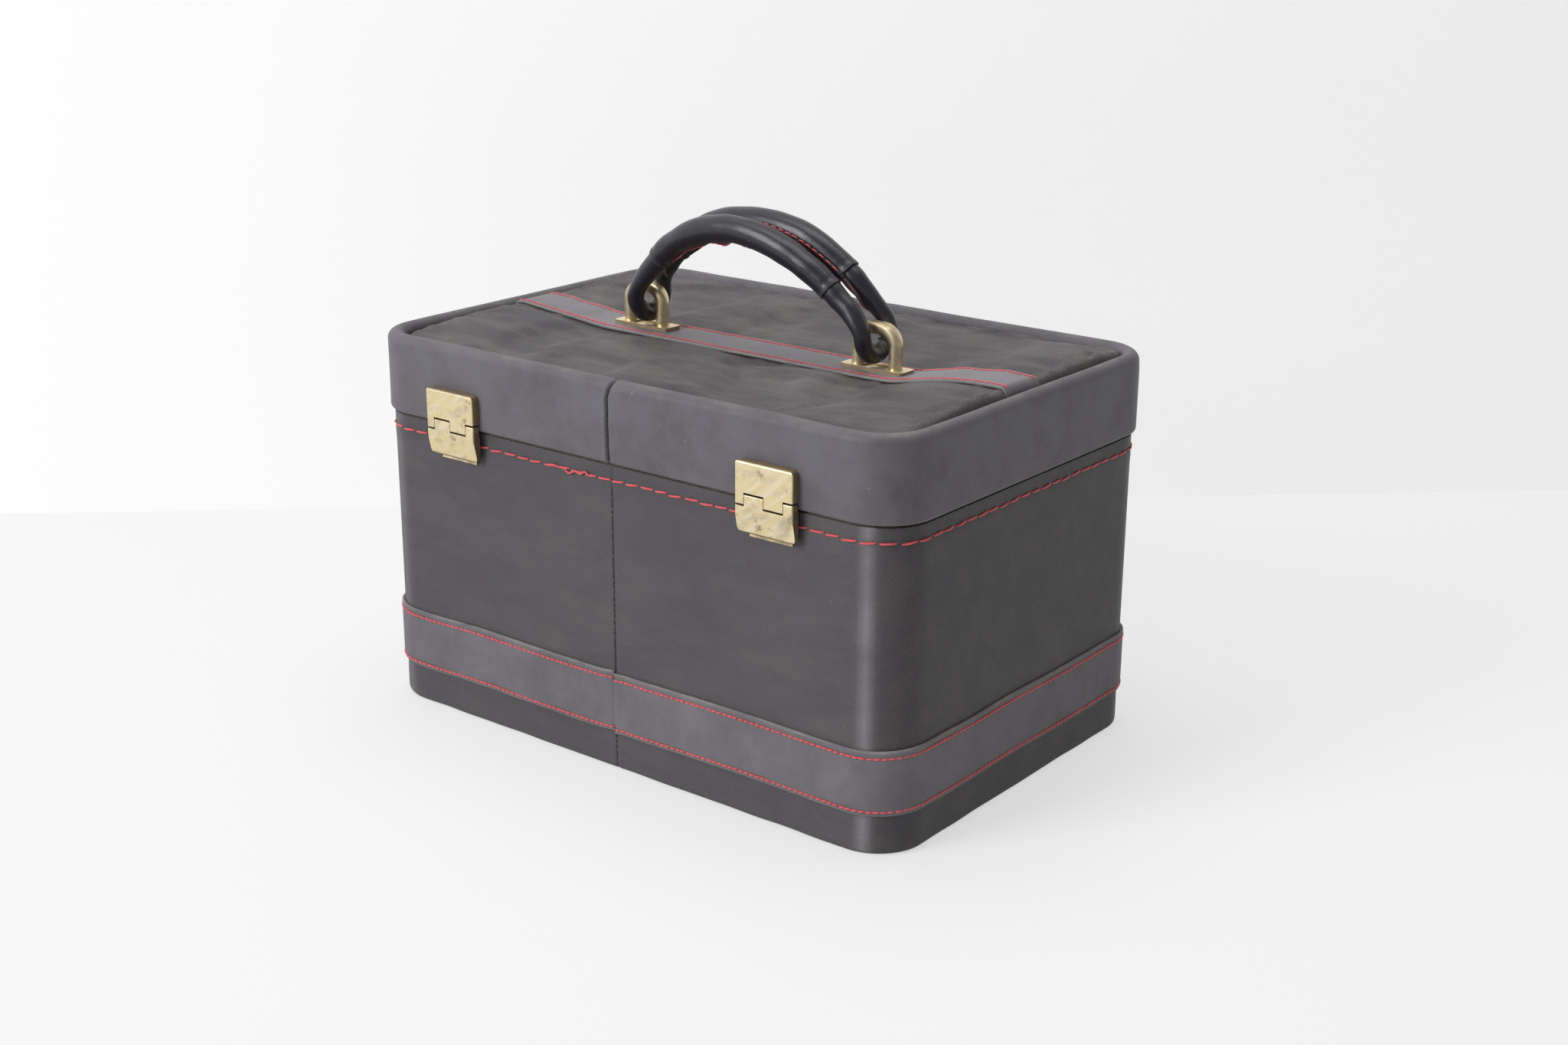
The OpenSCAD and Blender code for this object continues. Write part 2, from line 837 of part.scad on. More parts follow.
// Round rod bent to an arch, with tenons through the lid
module handle_staple(side) {
    bend = 8;
    foot = plate_z + plate_t;
    color("#c0a055")
        translate([side * staple_x, 0, 0]) {
            for (s = [-1, 1]) {
                translate([s * post_off, 0, foot])
                    cylinder(h = rod_z - bend - foot, d = staple_rod);
                translate([s * post_off, 0, board_low])
                    cylinder(h = foot - board_low, d = tenon_d);
            }
            for (s = [0, 1])
                mirror([s, 0, 0])
                    translate([post_off - bend, 0, rod_z - bend])
                        rotate([90, 0, 0])
                            rotate_extrude(angle = 90)
                                translate([bend, 0])
                                    circle(d = staple_rod);
            translate([0, 0, rod_z])
                bar_x(0, 2 * (post_off - bend), staple_rod);
        }
}

backing_t = 1.5;

module staple_backing() {
    color("silver")
        difference() {
            for (side = [-1, 1])
                translate([side * staple_x, 0, board_low])
                    linear_extrude(backing_t)
                        rounded_rect(plate_l, plate_w, 1.5);
            tenon_holes(board_low - 1, board_low + backing_t + 1);
        }
}

// Handle: points along half of the arch, from the crown to the loop, then the turn
function bezier(a, b, c, d, t) =
    pow(1 - t, 3) * a + 3 * pow(1 - t, 2) * t * b + 3 * (1 - t) * t * t * c + pow(t, 3) * d;
leg_bow = 9.8;
leg_straight = 6.6;
cuff = [cuff_x, tube_gap / 2, cuff_h];
leg_out = cuff + leg_bow * [cos(grip_angle), 0, -sin(grip_angle)];
leg_in = [loop_x, loop_r, loop_c + leg_straight];
loop_start = [loop_x, loop_r, loop_c];
arc_steps = 10;
leg_steps = 8;
turn_steps = 8;
grip_points = [
    for (i = [0:arc_steps - 1])
        let (a = grip_angle * i / arc_steps)
        [grip_r * sin(a), tube_gap / 2, grip_c + grip_r * cos(a)]
];
leg_points = [for (i = [0:leg_steps - 1]) bezier(cuff, leg_out, leg_in, loop_start, i / leg_steps)];
turn_points = [
    for (i = [0:turn_steps])
        let (a = 180 * i / turn_steps)
        [loop_x, loop_r * cos(a), loop_c - loop_r * sin(a)]
];
function flip_y(list) = [for (p = list) [p[0], -p[1], p[2]]];
function flip_xy(list) = [for (p = list) [-p[0], -p[1], p[2]]];
function back_again(list) = [for (i = [len(list) - 1:-1:1]) list[i]];
side_points = concat(grip_points, leg_points, turn_points);
inner_points = concat(grip_points, leg_points);
half_ring = concat(side_points, flip_y(back_again(inner_points)));
handle_ring = concat(half_ring, flip_xy(half_ring));

// Section half sizes along the ring: round under the wrap, oval in the loops
function section_at(p) =
    let (k = ease((cuff_h - p[2]) / (cuff_h - loop_c)))
    [tube_r + (loop_half - tube_r) * k, tube_r + (loop_half_x - tube_r) * k];
function unit(v) = v / norm(v);

module handle_loop_ring(sides) {
    n = len(handle_ring);
    points = [
        for (i = [0:n - 1])
            let (
                p = handle_ring[i],
                t = unit(handle_ring[(i + 1) % n] - handle_ring[(i + n - 1) % n]),
                out = unit(cross(t, cross([0, 1, 0], t)) + 0.001 * [0, 1, 0]),
                flat = abs(t[1]) > 0.95 ? [0, 0, t[1] > 0 ? -1 : 1] : out,
                v = unit(cross(t, flat)),
                s = section_at(p)
            )
            for (k = [0:sides - 1])
                p + s[0] * cos(360 * k / sides) * flat + s[1] * sin(360 * k / sides) * v
    ];
    faces = [
        for (i = [0:n - 1], k = [0:sides - 1])
            let (a = i * sides, b = ((i + 1) % n) * sides, k1 = (k + 1) % sides)
            each [[a + k, a + k1, b + k1], [a + k, b + k1, b + k]]
    ];
    polyhedron(points = points, faces = faces);
}

// Puts a piece of the upright handle on its axis, leaning to the front
module on_handle_axis() {
    translate([0, 0, rod_z])
        rotate([handle_lean, 0, 0])
            children();
}

module handle_loop() {
    color("#202024")
        on_handle_axis()
            handle_loop_ring(16);
}

// Two sleeves joined by the sewn web between them
module handle_wrap() {
    web_t = 2;
    web_w = tube_gap - wrap_d + 2;
    color("#26262b")
        on_handle_axis()
            translate([0, 0, grip_c])
                rotate([90, 0, 0])
                    rotate([0, 0, 90 - grip_angle])
                        rotate_extrude(angle = 2 * grip_angle)
                            difference() {
                                union() {
                                    for (s = [-1, 1])
                                        translate([grip_r, s * tube_gap / 2])
                                            circle(d = wrap_d);
                                    translate([grip_r, 0])
                                        square([web_t, web_w], center = true);
                                }
                                for (s = [-1, 1])
                                    translate([grip_r, s * tube_gap / 2])
                                        circle(d = wrap_d - 2 * wrap_t);
                            }
}

// Latches

// Spans of the knuckles across a latch: upper, lower, upper, lower
knuckle_edges = [-latch_w / 2, -latch_w / 2 + side_knuckle, 0, latch_w / 2 - side_knuckle, latch_w / 2];

// Cut across one knuckle with play at each inner end and open at the latch's side
module knuckle_box(k, play, y0, y1, z0, z1) {
    a = knuckle_edges[k] - (k == 0 ? latch_depth : play);
    b = knuckle_edges[k + 1] + (k == 3 ? latch_depth : play);
    translate([a, y0, z0])
        cube([b - a, y1 - y0, z1 - z0]);
}

knuckle_play = 0.15;
face_r = 1;

// Plan view with its front corners rounded, so the face is soft at the sides
module latch_plan(depth) {
    translate([-latch_w / 2 + face_r, -latch_front_d])
        square([latch_w - 2 * face_r, depth]);
    translate([-latch_w / 2, face_r - latch_front_d])
        square([latch_w, depth - face_r]);
    for (s = [-1, 1])
        translate([s * (latch_w / 2 - face_r), face_r - latch_front_d])
            circle(face_r);
}

// Front view with rounded outer corners, from z0 up to z1
module latch_front(z0, z1, r) {
    up = z1 > z0 ? 1 : -1;
    translate([-latch_w / 2, min(z0, z1 - up * r)])
        square([latch_w, abs(z1 - z0) - r]);
    translate([r - latch_w / 2, min(z1, z1 - up * r)])
        square([latch_w - 2 * r, r]);
    for (s = [-1, 1])
        translate([s * (latch_w / 2 - r), z1 - up * r])
            circle(r);
}

module plate_side() {
    r = 1.4;
    translate([-latch_front_d, -lobe])
        square([latch_depth, latch_up + lobe - r]);
    translate([r - latch_front_d, latch_up - r])
        square([latch_depth - r, r]);
    translate([r - latch_front_d, latch_up - r])
        circle(r);
}

module latch_plate(x) {
    color("#b9994f")
        translate([x, pin_y, pin_z])
            difference() {
                intersection() {
                    translate([0, 0, -lobe])
                        linear_extrude(latch_up + lobe)
                            latch_plan(latch_depth);
                    translate([0, latch_depth, 0])
                        rotate([90, 0, 0])
                            linear_extrude(2 * latch_depth)
                                latch_front(-lobe, latch_up, 2.5);
                    rotate([90, 0, 90])
                        translate([0, 0, -latch_w])
                            linear_extrude(2 * latch_w)
                                plate_side();
                }
                for (k = [1, 3])
                    knuckle_box(k, knuckle_play, -latch_depth, latch_depth, -latch_depth, slot_edge);
                translate([sheet_t - latch_w / 2, sheet_t - latch_front_d, slot_edge + sheet_t])
                    cube([latch_w - 2 * sheet_t, latch_depth, latch_up - slot_edge - 2 * sheet_t]);
                bar_x(0, 2 * latch_w, latch_pin_d + 2 * run_clear);
            }
    color("#b9994f")
        for (s = [-1, 1])
            bar_y(x + s * stud_off, pin_y + sheet_t - latch_front_d - 0.2, stud_z, stud_len, stud_d);
}

washer_t = 1;
stud_len = latch_depth - sheet_t + 0.2 + ledge_inset + washer_t;

module latch_washers() {
    inner = -(lid_d / 2 - ledge_inset);
    color("#a07e3c")
        difference() {
            for (p = stud_places)
                bar_y(p[0], inner, p[1], washer_t, 2.4 * stud_d);
            for (p = stud_places)
                bar_y(p[0], inner - 1, p[1], washer_t + 2, stud_d + 2 * rivet_clear);
        }
}

module latch_pin(x) {
    color("#8f7136")
        translate([x, pin_y, pin_z])
            bar_x(0, latch_w, latch_pin_d);
}

// Side outline of the flap: square front and round back at the knuckles, leaning in below
flap_bend = 4.5;
flap_lean = 2.2;
flap_back = latch_back_d;
module flap_side() {
    r = 0.6;
    polygon([
        [r - latch_front_d, lobe], [-latch_front_d, lobe - r], [-latch_front_d, -flap_bend],
        [flap_lean - latch_front_d, 1 - latch_down], [flap_lean - latch_front_d + 1, -latch_down],
        [flap_back, -latch_down], [flap_back, -slot_edge - 1], [lobe, -slot_edge], [lobe, 0], [0, lobe]
    ]);
    translate([r - latch_front_d, lobe - r])
        circle(r);
    circle(lobe);
}

// Hollow of the flap, one sheet thickness behind its face
module flap_hollow() {
    face = sheet_t - latch_front_d;
    polygon([
        [face, -slot_edge - sheet_t], [face, -flap_bend], [face + flap_lean, sheet_t - latch_down],
        [flap_back + 1, sheet_t - latch_down], [flap_back + 1, -slot_edge - sheet_t]
    ]);
}

module latch_flap(x) {
    color("#b9994f")
        translate([x, pin_y, pin_z])
            difference() {
                intersection() {
                    translate([0, 0, -latch_down])
                        linear_extrude(latch_down + lobe)
                            latch_plan(latch_front_d + flap_back);
                    translate([0, 2 * latch_depth, 0])
                        rotate([90, 0, 0])
                            linear_extrude(3 * latch_depth)
                                latch_front(lobe, -latch_down, 3);
                    rotate([90, 0, 90])
                        translate([0, 0, -latch_w])
                            linear_extrude(2 * latch_w)
                                flap_side();
                }
                for (k = [0, 2])
                    knuckle_box(k, knuckle_play, -latch_depth, 2 * latch_depth, -slot_edge, latch_depth);
                rotate([90, 0, 90])
                    translate([0, 0, sheet_t - latch_w / 2])
                        linear_extrude(latch_w - 2 * sheet_t)
                            flap_hollow();
                bar_x(0, 2 * latch_w, latch_pin_d + 2 * run_clear);
            }
}

// Catch on the body: a plate with a raised snap bar behind the flap, and a lip below its foot
catch_lip = 2.2;
module latch_catch(x) {
    face = -half_d;
    low = pin_z - latch_down - catch_lip;
    high = nose_z + nose_d;
    color("#a8884a")
        difference() {
            union() {
                translate([x - catch_w / 2, face - catch_t, low])
                    cube([catch_w, catch_t, high - low]);
                translate([x - nose_w / 2, face - catch_t - nose_d / 2, nose_z - nose_d / 2])
                    cube([nose_w, nose_d / 2, nose_d]);
                translate([x, face - catch_t - nose_d / 2, nose_z])
                    bar_x(0, nose_w, nose_d);
            }
            body_holes();
        }
}

module catch_rivets() {
    color("#8f7136")
        wall_rivets(catch_rivet_places, -half_d - catch_t, -(half_d - lining_inset));
}

// Stay

// Stud on a round base, with a step that keeps the arm off the base, and a head
module stay_stud(y, z, base_d, pin_d, head_d) {
    translate([stay_wall, y, z])
        rotate([0, 90, 0]) {
            cylinder(h = stud_base_t, d = base_d);
            cylinder(h = stud_base_t + stud_step - 0.1, d = pin_d + 2.4);
            cylinder(h = stud_base_t + stud_step + arm_t + 0.3, d = pin_d);
            translate([0, 0, stud_base_t + stud_step + arm_t + 0.2])
                cylinder(h = 1.2, d = head_d);
        }
}

module stay_body_stud() {
    color("#b9994f")
        stay_stud(stay_y, hinge_z - stay_rise, 16, slot_pin_d, 9);
}

module stay_lid_stud() {
    color("#b9994f")
        stay_stud(stay_y, hinge_z + stay_rise, 12.6, lid_stud_d, 7);
}

// Slotted arm hanging from the lid stud; the slot runs from the shut place to the open one
module stay_arm() {
    shut = 2 * stay_rise;
    slot_w = slot_pin_d + 2 * run_clear;
    tail = stay_long + slot_pin_d + 2;
    color("#b9994f")
        translate([arm_x, stay_y, hinge_z + stay_rise])
            rotate([90, 0, 90])
                linear_extrude(arm_t)
                    difference() {
                        union() {
                            circle(d = arm_w);
                            translate([-arm_w / 2, -tail])
                                square([arm_w, tail]);
                            translate([0, -tail])
                                circle(d = arm_w);
                        }
                        circle(d = lid_stud_d + 2 * run_clear);
                        translate([-slot_w / 2, -stay_long])
                            square([slot_w, stay_long - shut]);
                        for (z = [shut, stay_long])
                            translate([0, -z])
                                circle(d = slot_w);
                    }
}

body_board();
base_board();
bottom_cover();
body_cover(-1);  // body_cover_left
body_cover(1);  // body_cover_right
foot_band(-1);  // foot_band_left
foot_band(1);  // foot_band_right
rim_binding();
body_lining();
floor_pad();
hinge_body_leaf(-hinge_x);  // hinge_body_leaf_left
hinge_body_leaf(hinge_x);  // hinge_body_leaf_right
hinge_pin(-hinge_x);  // hinge_pin_left
hinge_pin(hinge_x);  // hinge_pin_right
hinge_body_rivets();
latch_catch(latch_places[0]);  // latch_catch_left
latch_catch(latch_places[1]);  // latch_catch_right
catch_rivets();
stay_body_stud();
lid_frame();
lid_board();
lid_ledge();
lid_band(-1);  // lid_band_left
lid_band(1);  // lid_band_right
rim_piping();
lid_pad();
lid_strap();
handle_plate(-1);  // handle_plate_left
handle_plate(1);  // handle_plate_right
handle_staple(-1);  // handle_staple_left
handle_staple(1);  // handle_staple_right
staple_backing();
lid_lining();
mirror_frame();
mirror_glass();
latch_plate(latch_places[0]);  // latch_plate_left
latch_plate(latch_places[1]);  // latch_plate_right
latch_pin(latch_places[0]);  // latch_pin_left
latch_pin(latch_places[1]);  // latch_pin_right
latch_washers();
hinge_lid_leaf(-hinge_x);  // hinge_lid_leaf_left
hinge_lid_leaf(hinge_x);  // hinge_lid_leaf_right
hinge_lid_rivets();
stay_lid_stud();
handle_loop();
handle_wrap();
latch_flap(latch_places[0]);  // latch_flap_left
latch_flap(latch_places[1]);  // latch_flap_right
stay_arm();
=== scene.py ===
"""Vanity case: cloth, leather, stitching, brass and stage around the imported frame."""
import json
import math

import bmesh
import bpy
import numpy as np
from mathutils import Matrix, Vector


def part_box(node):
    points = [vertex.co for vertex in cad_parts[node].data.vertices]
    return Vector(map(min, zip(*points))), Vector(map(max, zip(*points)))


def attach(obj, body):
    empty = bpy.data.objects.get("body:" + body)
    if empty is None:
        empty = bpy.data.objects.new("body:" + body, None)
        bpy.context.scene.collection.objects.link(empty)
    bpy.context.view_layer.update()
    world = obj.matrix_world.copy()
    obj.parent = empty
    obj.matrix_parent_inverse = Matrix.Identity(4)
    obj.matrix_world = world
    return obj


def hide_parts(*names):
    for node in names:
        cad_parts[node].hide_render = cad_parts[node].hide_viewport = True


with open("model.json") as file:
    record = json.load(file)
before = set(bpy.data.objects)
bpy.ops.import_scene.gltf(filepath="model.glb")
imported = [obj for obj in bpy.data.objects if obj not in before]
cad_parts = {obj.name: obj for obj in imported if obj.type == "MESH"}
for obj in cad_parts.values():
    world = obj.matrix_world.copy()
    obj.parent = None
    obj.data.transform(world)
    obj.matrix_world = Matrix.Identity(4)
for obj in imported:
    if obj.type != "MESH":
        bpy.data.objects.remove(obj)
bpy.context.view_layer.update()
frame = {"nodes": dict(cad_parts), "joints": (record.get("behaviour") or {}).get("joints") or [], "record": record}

bl_info = {
    "name": "Vanity case",
    "version": (1, 0, 0),
    "blender": (4, 5, 0),
    "location": "View3D > Sidebar > Vanity case",
    "description": "Dresses a vanity case with cloth, leather, stitching and aged brass",
    "category": "Add Mesh",
}

MM = 0.001

# Places read from the frame
BODY_W, BODY_D, COVER_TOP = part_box("body_cover_right")[1]
LID_W, LID_D, CREST_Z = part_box("lid_band_right")[1]
PARTING_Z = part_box("lid_band_right")[0].z
BAND_LOW, BAND_HIGH = (corner.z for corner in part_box("foot_band_right"))
BAND_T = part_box("foot_band_right")[1].x - BODY_W
BOARD_LOW, BOARD_TOP = (corner.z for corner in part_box("lid_board"))
PAD_W, PAD_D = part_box("lid_pad")[1].xy
FLOOR_W, FLOOR_D, FLOOR_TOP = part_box("floor_pad")[1]
FLOOR_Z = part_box("floor_pad")[0].z
STRAP_W = 2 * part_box("lid_strap")[1].y
PLATE_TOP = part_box("handle_plate_right")[1].z
STAPLE_X = sum(corner.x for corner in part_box("handle_plate_right")) / 2
ROD_Z = next(j["pos_m"][2] for j in frame["joints"] if j["name"] == "handle_fold")

# Radii and thicknesses, the same as in the construction
CORNER_R = 24 * MM
FOOT_R = 3 * MM
COVER_T = 1.2 * MM
TURN_UNDER = 12 * MM
LID_LEATHER = 1.4 * MM
SIDE_BOARD = 1.5 * MM
HEM_R = 2 * MM
BEAD_R = 4.5 * MM
BEAD_Z = CREST_Z - BEAD_R
STRAP_T = 1.4 * MM
STRAP_LIFT = 0.2 * MM
FLOOR_H = FLOOR_TOP - FLOOR_Z

# Rounded outlines: half width, half depth and corner radius
BODY = (BODY_W, BODY_D, CORNER_R)
LID = (LID_W, LID_D, CORNER_R + (LID_W - BODY_W))
PAD = (PAD_W, PAD_D, LID[2] - (LID_W - PAD_W))
FLOOR = (FLOOR_W, FLOOR_D, CORNER_R - (BODY_W - FLOOR_W))

# Height of the long stitches round the body
ROW_Z = 147 * MM

SIDES = ((-1, "left"), (1, "right"))
ENDS = ((-1, "front"), (1, "rear"))

# Handle in its upright place, measured from the staple rods
LEAN = math.radians(8)
CROWN_H = 40.6 * MM
CUFF_H = 19.8 * MM
CUFF_X = 53.4 * MM
GRIP_SAG = CROWN_H - CUFF_H
GRIP_R = (CUFF_X ** 2 + GRIP_SAG ** 2) / (2 * GRIP_SAG)
GRIP_C = CROWN_H - GRIP_R
GRIP_ANGLE = math.asin(CUFF_X / GRIP_R)
TUBE_OFF = 7.2 * MM
TUBE_R = 5.4 * MM
LOOP_THICK = 4.2 * MM
LOOP_WIDE = 5 * MM
LOOP_X = 71.4 * MM
LOOP_R = 10.5 * MM
LOOP_C = -3 * MM
LEG_BOW = 9.8 * MM
LEG_STRAIGHT = 6.6 * MM
POST_OFF = 10.8 * MM
BEND_R = 8 * MM
ROD_R = 3.4 * MM

# Camera, solved from the straight edges of the case
CAMERA_PLACE = (0.6419, -0.7990, 0.4366)
CAMERA_AZIMUTH = math.radians(38.01)
CAMERA_ELEVATION = math.radians(18.40)
CAMERA_ROLL = math.radians(0.36)
CAMERA_LENS = 48.61
CAMERA_SHIFT = 0.0035


def length_setting(name, description, default, least):
    """Length, from its default and its least value in millimetres."""
    return bpy.props.FloatProperty(name=name, description=description, default=default * MM,
                                   min=least * MM, unit="LENGTH")


def colour_setting(name, description, default):
    return bpy.props.FloatVectorProperty(name=name, description=description, default=default,
                                         subtype="COLOR", min=0, max=1)


class CaseSizes(bpy.types.PropertyGroup):
    """Sizes of the weave, of the stitching and of the handle's bend."""

    twill: length_setting("Twill", "Distance between the diagonal ribs of the cloth", 0.8, 0.3)
    band_stitch: length_setting("Band stitch", "Pitch of the stitches on foot band and strap", 3.2, 1.5)
    long_stitch: length_setting("Long stitch", "Pitch of the long stitches round the body", 8.9, 4)
    thread_r: length_setting("Thread radius", "Radius of the red thread", 0.5, 0.1)
    twist: length_setting("Grip twist", "How much the rear grip tube rises to the right cuff", 4.4, 0)
    sway: length_setting("Grip sway", "How far the crown of the handle leans to the left", 2.5, 0)


class CaseColours(bpy.types.PropertyGroup):
    """Colours of the finishes, in linear light."""

    cloth: colour_setting("Cloth", "Woven cloth of the body and of the lid's top", (0.066, 0.062, 0.067))
    dust: colour_setting("Dust", "Dust and wear in the cloth", (0.24, 0.215, 0.19))
    band: colour_setting("Band leather", "Leather of the foot band and the strap", (0.148, 0.139, 0.150))
    lid: colour_setting("Lid leather", "Leather round the lid", (0.122, 0.116, 0.127))
    handle: colour_setting("Handle leather", "Rolled leather of the handle", (0.021, 0.019, 0.025))
    raw: colour_setting("Raw leather", "Cut edges and scuffed places of the leather", (0.29, 0.272, 0.245))
    thread: colour_setting("Thread", "Red stitching", (0.84, 0.10, 0.115))
    brass: colour_setting("Brass", "Bare brass", (0.83, 0.69, 0.41))
    # This colour is also painted as shade and dark reflection on brass edges, staple tops and latch catches.
    tarnish_and_painted_shade: colour_setting("Tarnish", "Brown tarnish of the brass", (0.27, 0.20, 0.12))
    lining: colour_setting("Lining", "Cloth lining and padded floor", (0.36, 0.30, 0.24))
    board: colour_setting("Board", "Pressed fibre board", (0.42, 0.32, 0.21))


class CaseStage(bpy.types.PropertyGroup):
    """Brightness of the stage."""

    key: bpy.props.FloatProperty(
        name="Key light", description="Power of the large soft lamp at the front left",
        default=56.0, min=0, unit="POWER")
    world: bpy.props.FloatProperty(
        name="Room light", description="Strength of the light from the room", default=0.28, min=0)
    floor: colour_setting("Floor", "Colour of the pale floor and wall", (0.86, 0.86, 0.865))


class Shader:
    """One material and short ways to add and join its nodes."""

    def __init__(self, name):
        self.material = bpy.data.materials.new(name)
        self.material.use_nodes = True
        self.tree = self.material.node_tree
        self.principled = self.tree.nodes["Principled BSDF"]

    def put(self, node, key, value):
        """Joins an output to the socket or sets the socket's own value. A colour gets its alpha of 1."""
        socket = node.inputs[key]
        if isinstance(value, bpy.types.NodeSocket):
            self.tree.links.new(value, socket)
        elif socket.type == "RGBA":
            socket.default_value = (*value, 1.0)
        else:
            socket.default_value = value

    def add(self, kind, inputs, output=0, **settings):
        node = self.tree.nodes.new(kind)
        for key, value in settings.items():
            setattr(node, key, value)
        for key, value in inputs.items():
            self.put(node, key, value)
        return node.outputs[output]

    def finish(self, **values):
        for key, value in values.items():
            self.put(self.principled, key.replace("_", " "), value)
        return self.material

    def object_place(self):
        return self.add("ShaderNodeTexCoord", {}, "Object")

    def attribute(self, name, output="Fac"):
        return self.add("ShaderNodeAttribute", {}, output, attribute_name=name)

    def stretch(self, vector, scale=(1, 1, 1), turn=(0, 0, 0)):
        """Turns the place first and then stretches it, so that a grain can run aslant."""
        turned = self.add("ShaderNodeMapping", {"Vector": vector, "Rotation": turn})
        return self.add("ShaderNodeMapping", {"Vector": turned, "Scale": scale})

    def noise(self, vector, scale, detail=3.0, roughness=0.55):
        inputs = {"Vector": vector, "Scale": scale, "Detail": detail, "Roughness": roughness}
        return self.add("ShaderNodeTexNoise", inputs)

    def cells(self, vector, scale):
        return self.add("ShaderNodeTexVoronoi", {"Vector": vector, "Scale": scale})

    def ribs(self, vector, pitch, distortion=0.0):
        """Sine ribs across the first axis, one in each pitch."""
        inputs = {"Vector": vector, "Scale": math.pi / (10 * pitch), "Distortion": distortion,
                  "Detail": 2.0, "Detail Scale": 1.0}
        return self.add("ShaderNodeTexWave", inputs, "Fac", wave_type="BANDS", bands_direction="X")

    def math(self, operation, *values):
        return self.add("ShaderNodeMath", dict(enumerate(values)), operation=operation)

    def fade(self, value, low, high, start=0.0, end=1.0):
        inputs = {"Value": value, "From Min": low, "From Max": high, "To Min": start, "To Max": end}
        return self.add("ShaderNodeMapRange", inputs)

    def mix(self, factor, a, b):
        return self.add("ShaderNodeMix", {0: factor, 6: a, 7: b}, 2, data_type="RGBA")

    def tinted(self, factor, colour, low, high):
        """A colour that goes from one shade to another with the factor."""
        return self.mix(factor, shade(colour, low), shade(colour, high))

    def bump(self, height, distance, under=None):
        inputs = {"Height": height, "Distance": distance, "Strength": 1.0}
        if under is not None:
            inputs["Normal"] = under
        return self.add("ShaderNodeBump", inputs)


def shade(colour, factor):
    """A colour made darker or lighter by a factor."""
    return tuple(min(1.0, channel * factor) for channel in colour)


def woven_cloth(colours, sizes, name="woven cloth", follows="weave", dusty=0.12, satin=0.75):
    """Dark satin twill: diagonal ribs crossed by fine threads, with long faint smears of dust. Up the walls its
    gloss spreads along the upright threads, which gives a bright line at a corner. Beside the corners a painted
    highlight, carried by an attribute, makes the cloth lighter in a narrow upright line and a little less rough."""
    s = Shader(name)
    place = s.object_place()
    weave = s.attribute(follows, "Vector") if follows else place
    slow = s.noise(place, 16.0, 3.0)
    smear = s.noise(s.stretch(place, (22, 60, 60)), 1.0, 5.0, 0.66)
    fine = s.noise(place, 900.0, 2.0)
    twill = s.ribs(s.stretch(weave, turn=(0, 0, math.radians(-38))), sizes.twill, 0.3)
    threads = s.ribs(s.stretch(weave, turn=(0, 0, math.radians(42))), sizes.twill * 0.8, 0.3)
    height = s.math("MULTIPLY", twill, s.math("MULTIPLY_ADD", threads, 0.6, 0.4))
    light = s.tinted(s.fade(slow, 0.3, 0.7), colours.cloth, 2.1, 2.3)
    base = s.mix(height, shade(colours.cloth, 0.38), light)
    patch = s.fade(s.math("MULTIPLY_ADD", fine, 0.3, smear), 0.58, 0.88, 0.0, dusty)
    worn = s.math("MULTIPLY", s.attribute("wear"), s.fade(fine, 0.3, 0.75))
    speck = s.fade(s.noise(place, 420.0, 2.0, 0.8), 0.74, 0.78, 0.0, 0.7)
    dust = s.math("MAXIMUM", s.math("MAXIMUM", patch, worn), speck)
    # Painted highlight: where this attribute rises, the cloth is made 1.3 to 6.6 times lighter by the twill and a
    # little less rough.
    rubbed = s.attribute("rub")
    base = s.mix(rubbed, base, s.tinted(height, colours.cloth, 1.3, 6.6))
    if satin:
        s.put(s.principled, "Tangent", s.add("ShaderNodeCombineXYZ", {"Z": 1.0}))
    return s.finish(Base_Color=s.mix(dust, base, colours.dust), Normal=s.bump(height, 0.045 * MM),
                    Roughness=s.math("MULTIPLY_ADD", rubbed, -0.12, s.fade(height, 0.0, 1.0, 0.62, 0.5)),
                    Anisotropic=satin, Specular_IOR_Level=0.3)


def leather(name, base, colours, rough=0.46, scuffs=0.5, grain=1500.0, gloss=0.2):
    """Smooth hide: fine grain, slow unevenness, scuffs and pale wear where the piece says so, and a painted sheen,
    lighter and cooler, where its attribute rises."""
    s = Shader(name)
    place = s.object_place()
    slow = s.noise(place, 18.0, 4.0, 0.6)
    pores = s.cells(place, grain)
    streak = s.noise(s.stretch(place, (260, 260, 18), (0.3, 0.5, 0.9)), 1.0, 5.0, 0.7)
    rub = s.noise(place, 75.0, 6.0, 0.7)
    scuff = s.fade(streak, 0.62, 0.76, 0.0, scuffs)
    worn = s.math("MULTIPLY", s.attribute("wear"), s.fade(rub, 0.34, 0.62))
    mottle = s.math("MULTIPLY_ADD", s.noise(place, 60.0, 5.0, 0.7), 0.45, s.math("MULTIPLY", slow, 0.55))
    colour = s.tinted(s.fade(mottle, 0.36, 0.64), base, 0.8, 1.18)
    # Painted sheen: the leather made 1.12 times lighter and a touch bluer.
    bloom = tuple(1.12 * channel + 0.003 * step for step, channel in enumerate(base))
    colour = s.mix(s.math("MULTIPLY", s.attribute("bloom"), s.fade(mottle, 0.4, 0.62)), colour, bloom)
    nick = s.fade(s.noise(place, 330.0, 2.0, 0.8), 0.745, 0.775, 0.0, 0.8)
    colour = s.mix(scuff, colour, shade(base, 1.7))
    colour = s.mix(s.math("MAXIMUM", worn, nick), colour, colours.raw)
    rough_a = s.fade(slow, 0.3, 0.7, rough - 0.05, rough + 0.08)
    roughness = s.math("MULTIPLY_ADD", s.math("MAXIMUM", scuff, worn), 0.3, rough_a)
    normal = s.bump(pores, 0.05 * MM, s.bump(rub, 0.1 * MM, s.bump(slow, 0.5 * MM)))
    return s.finish(Base_Color=colour, Roughness=roughness, Normal=normal, Specular_IOR_Level=gloss)


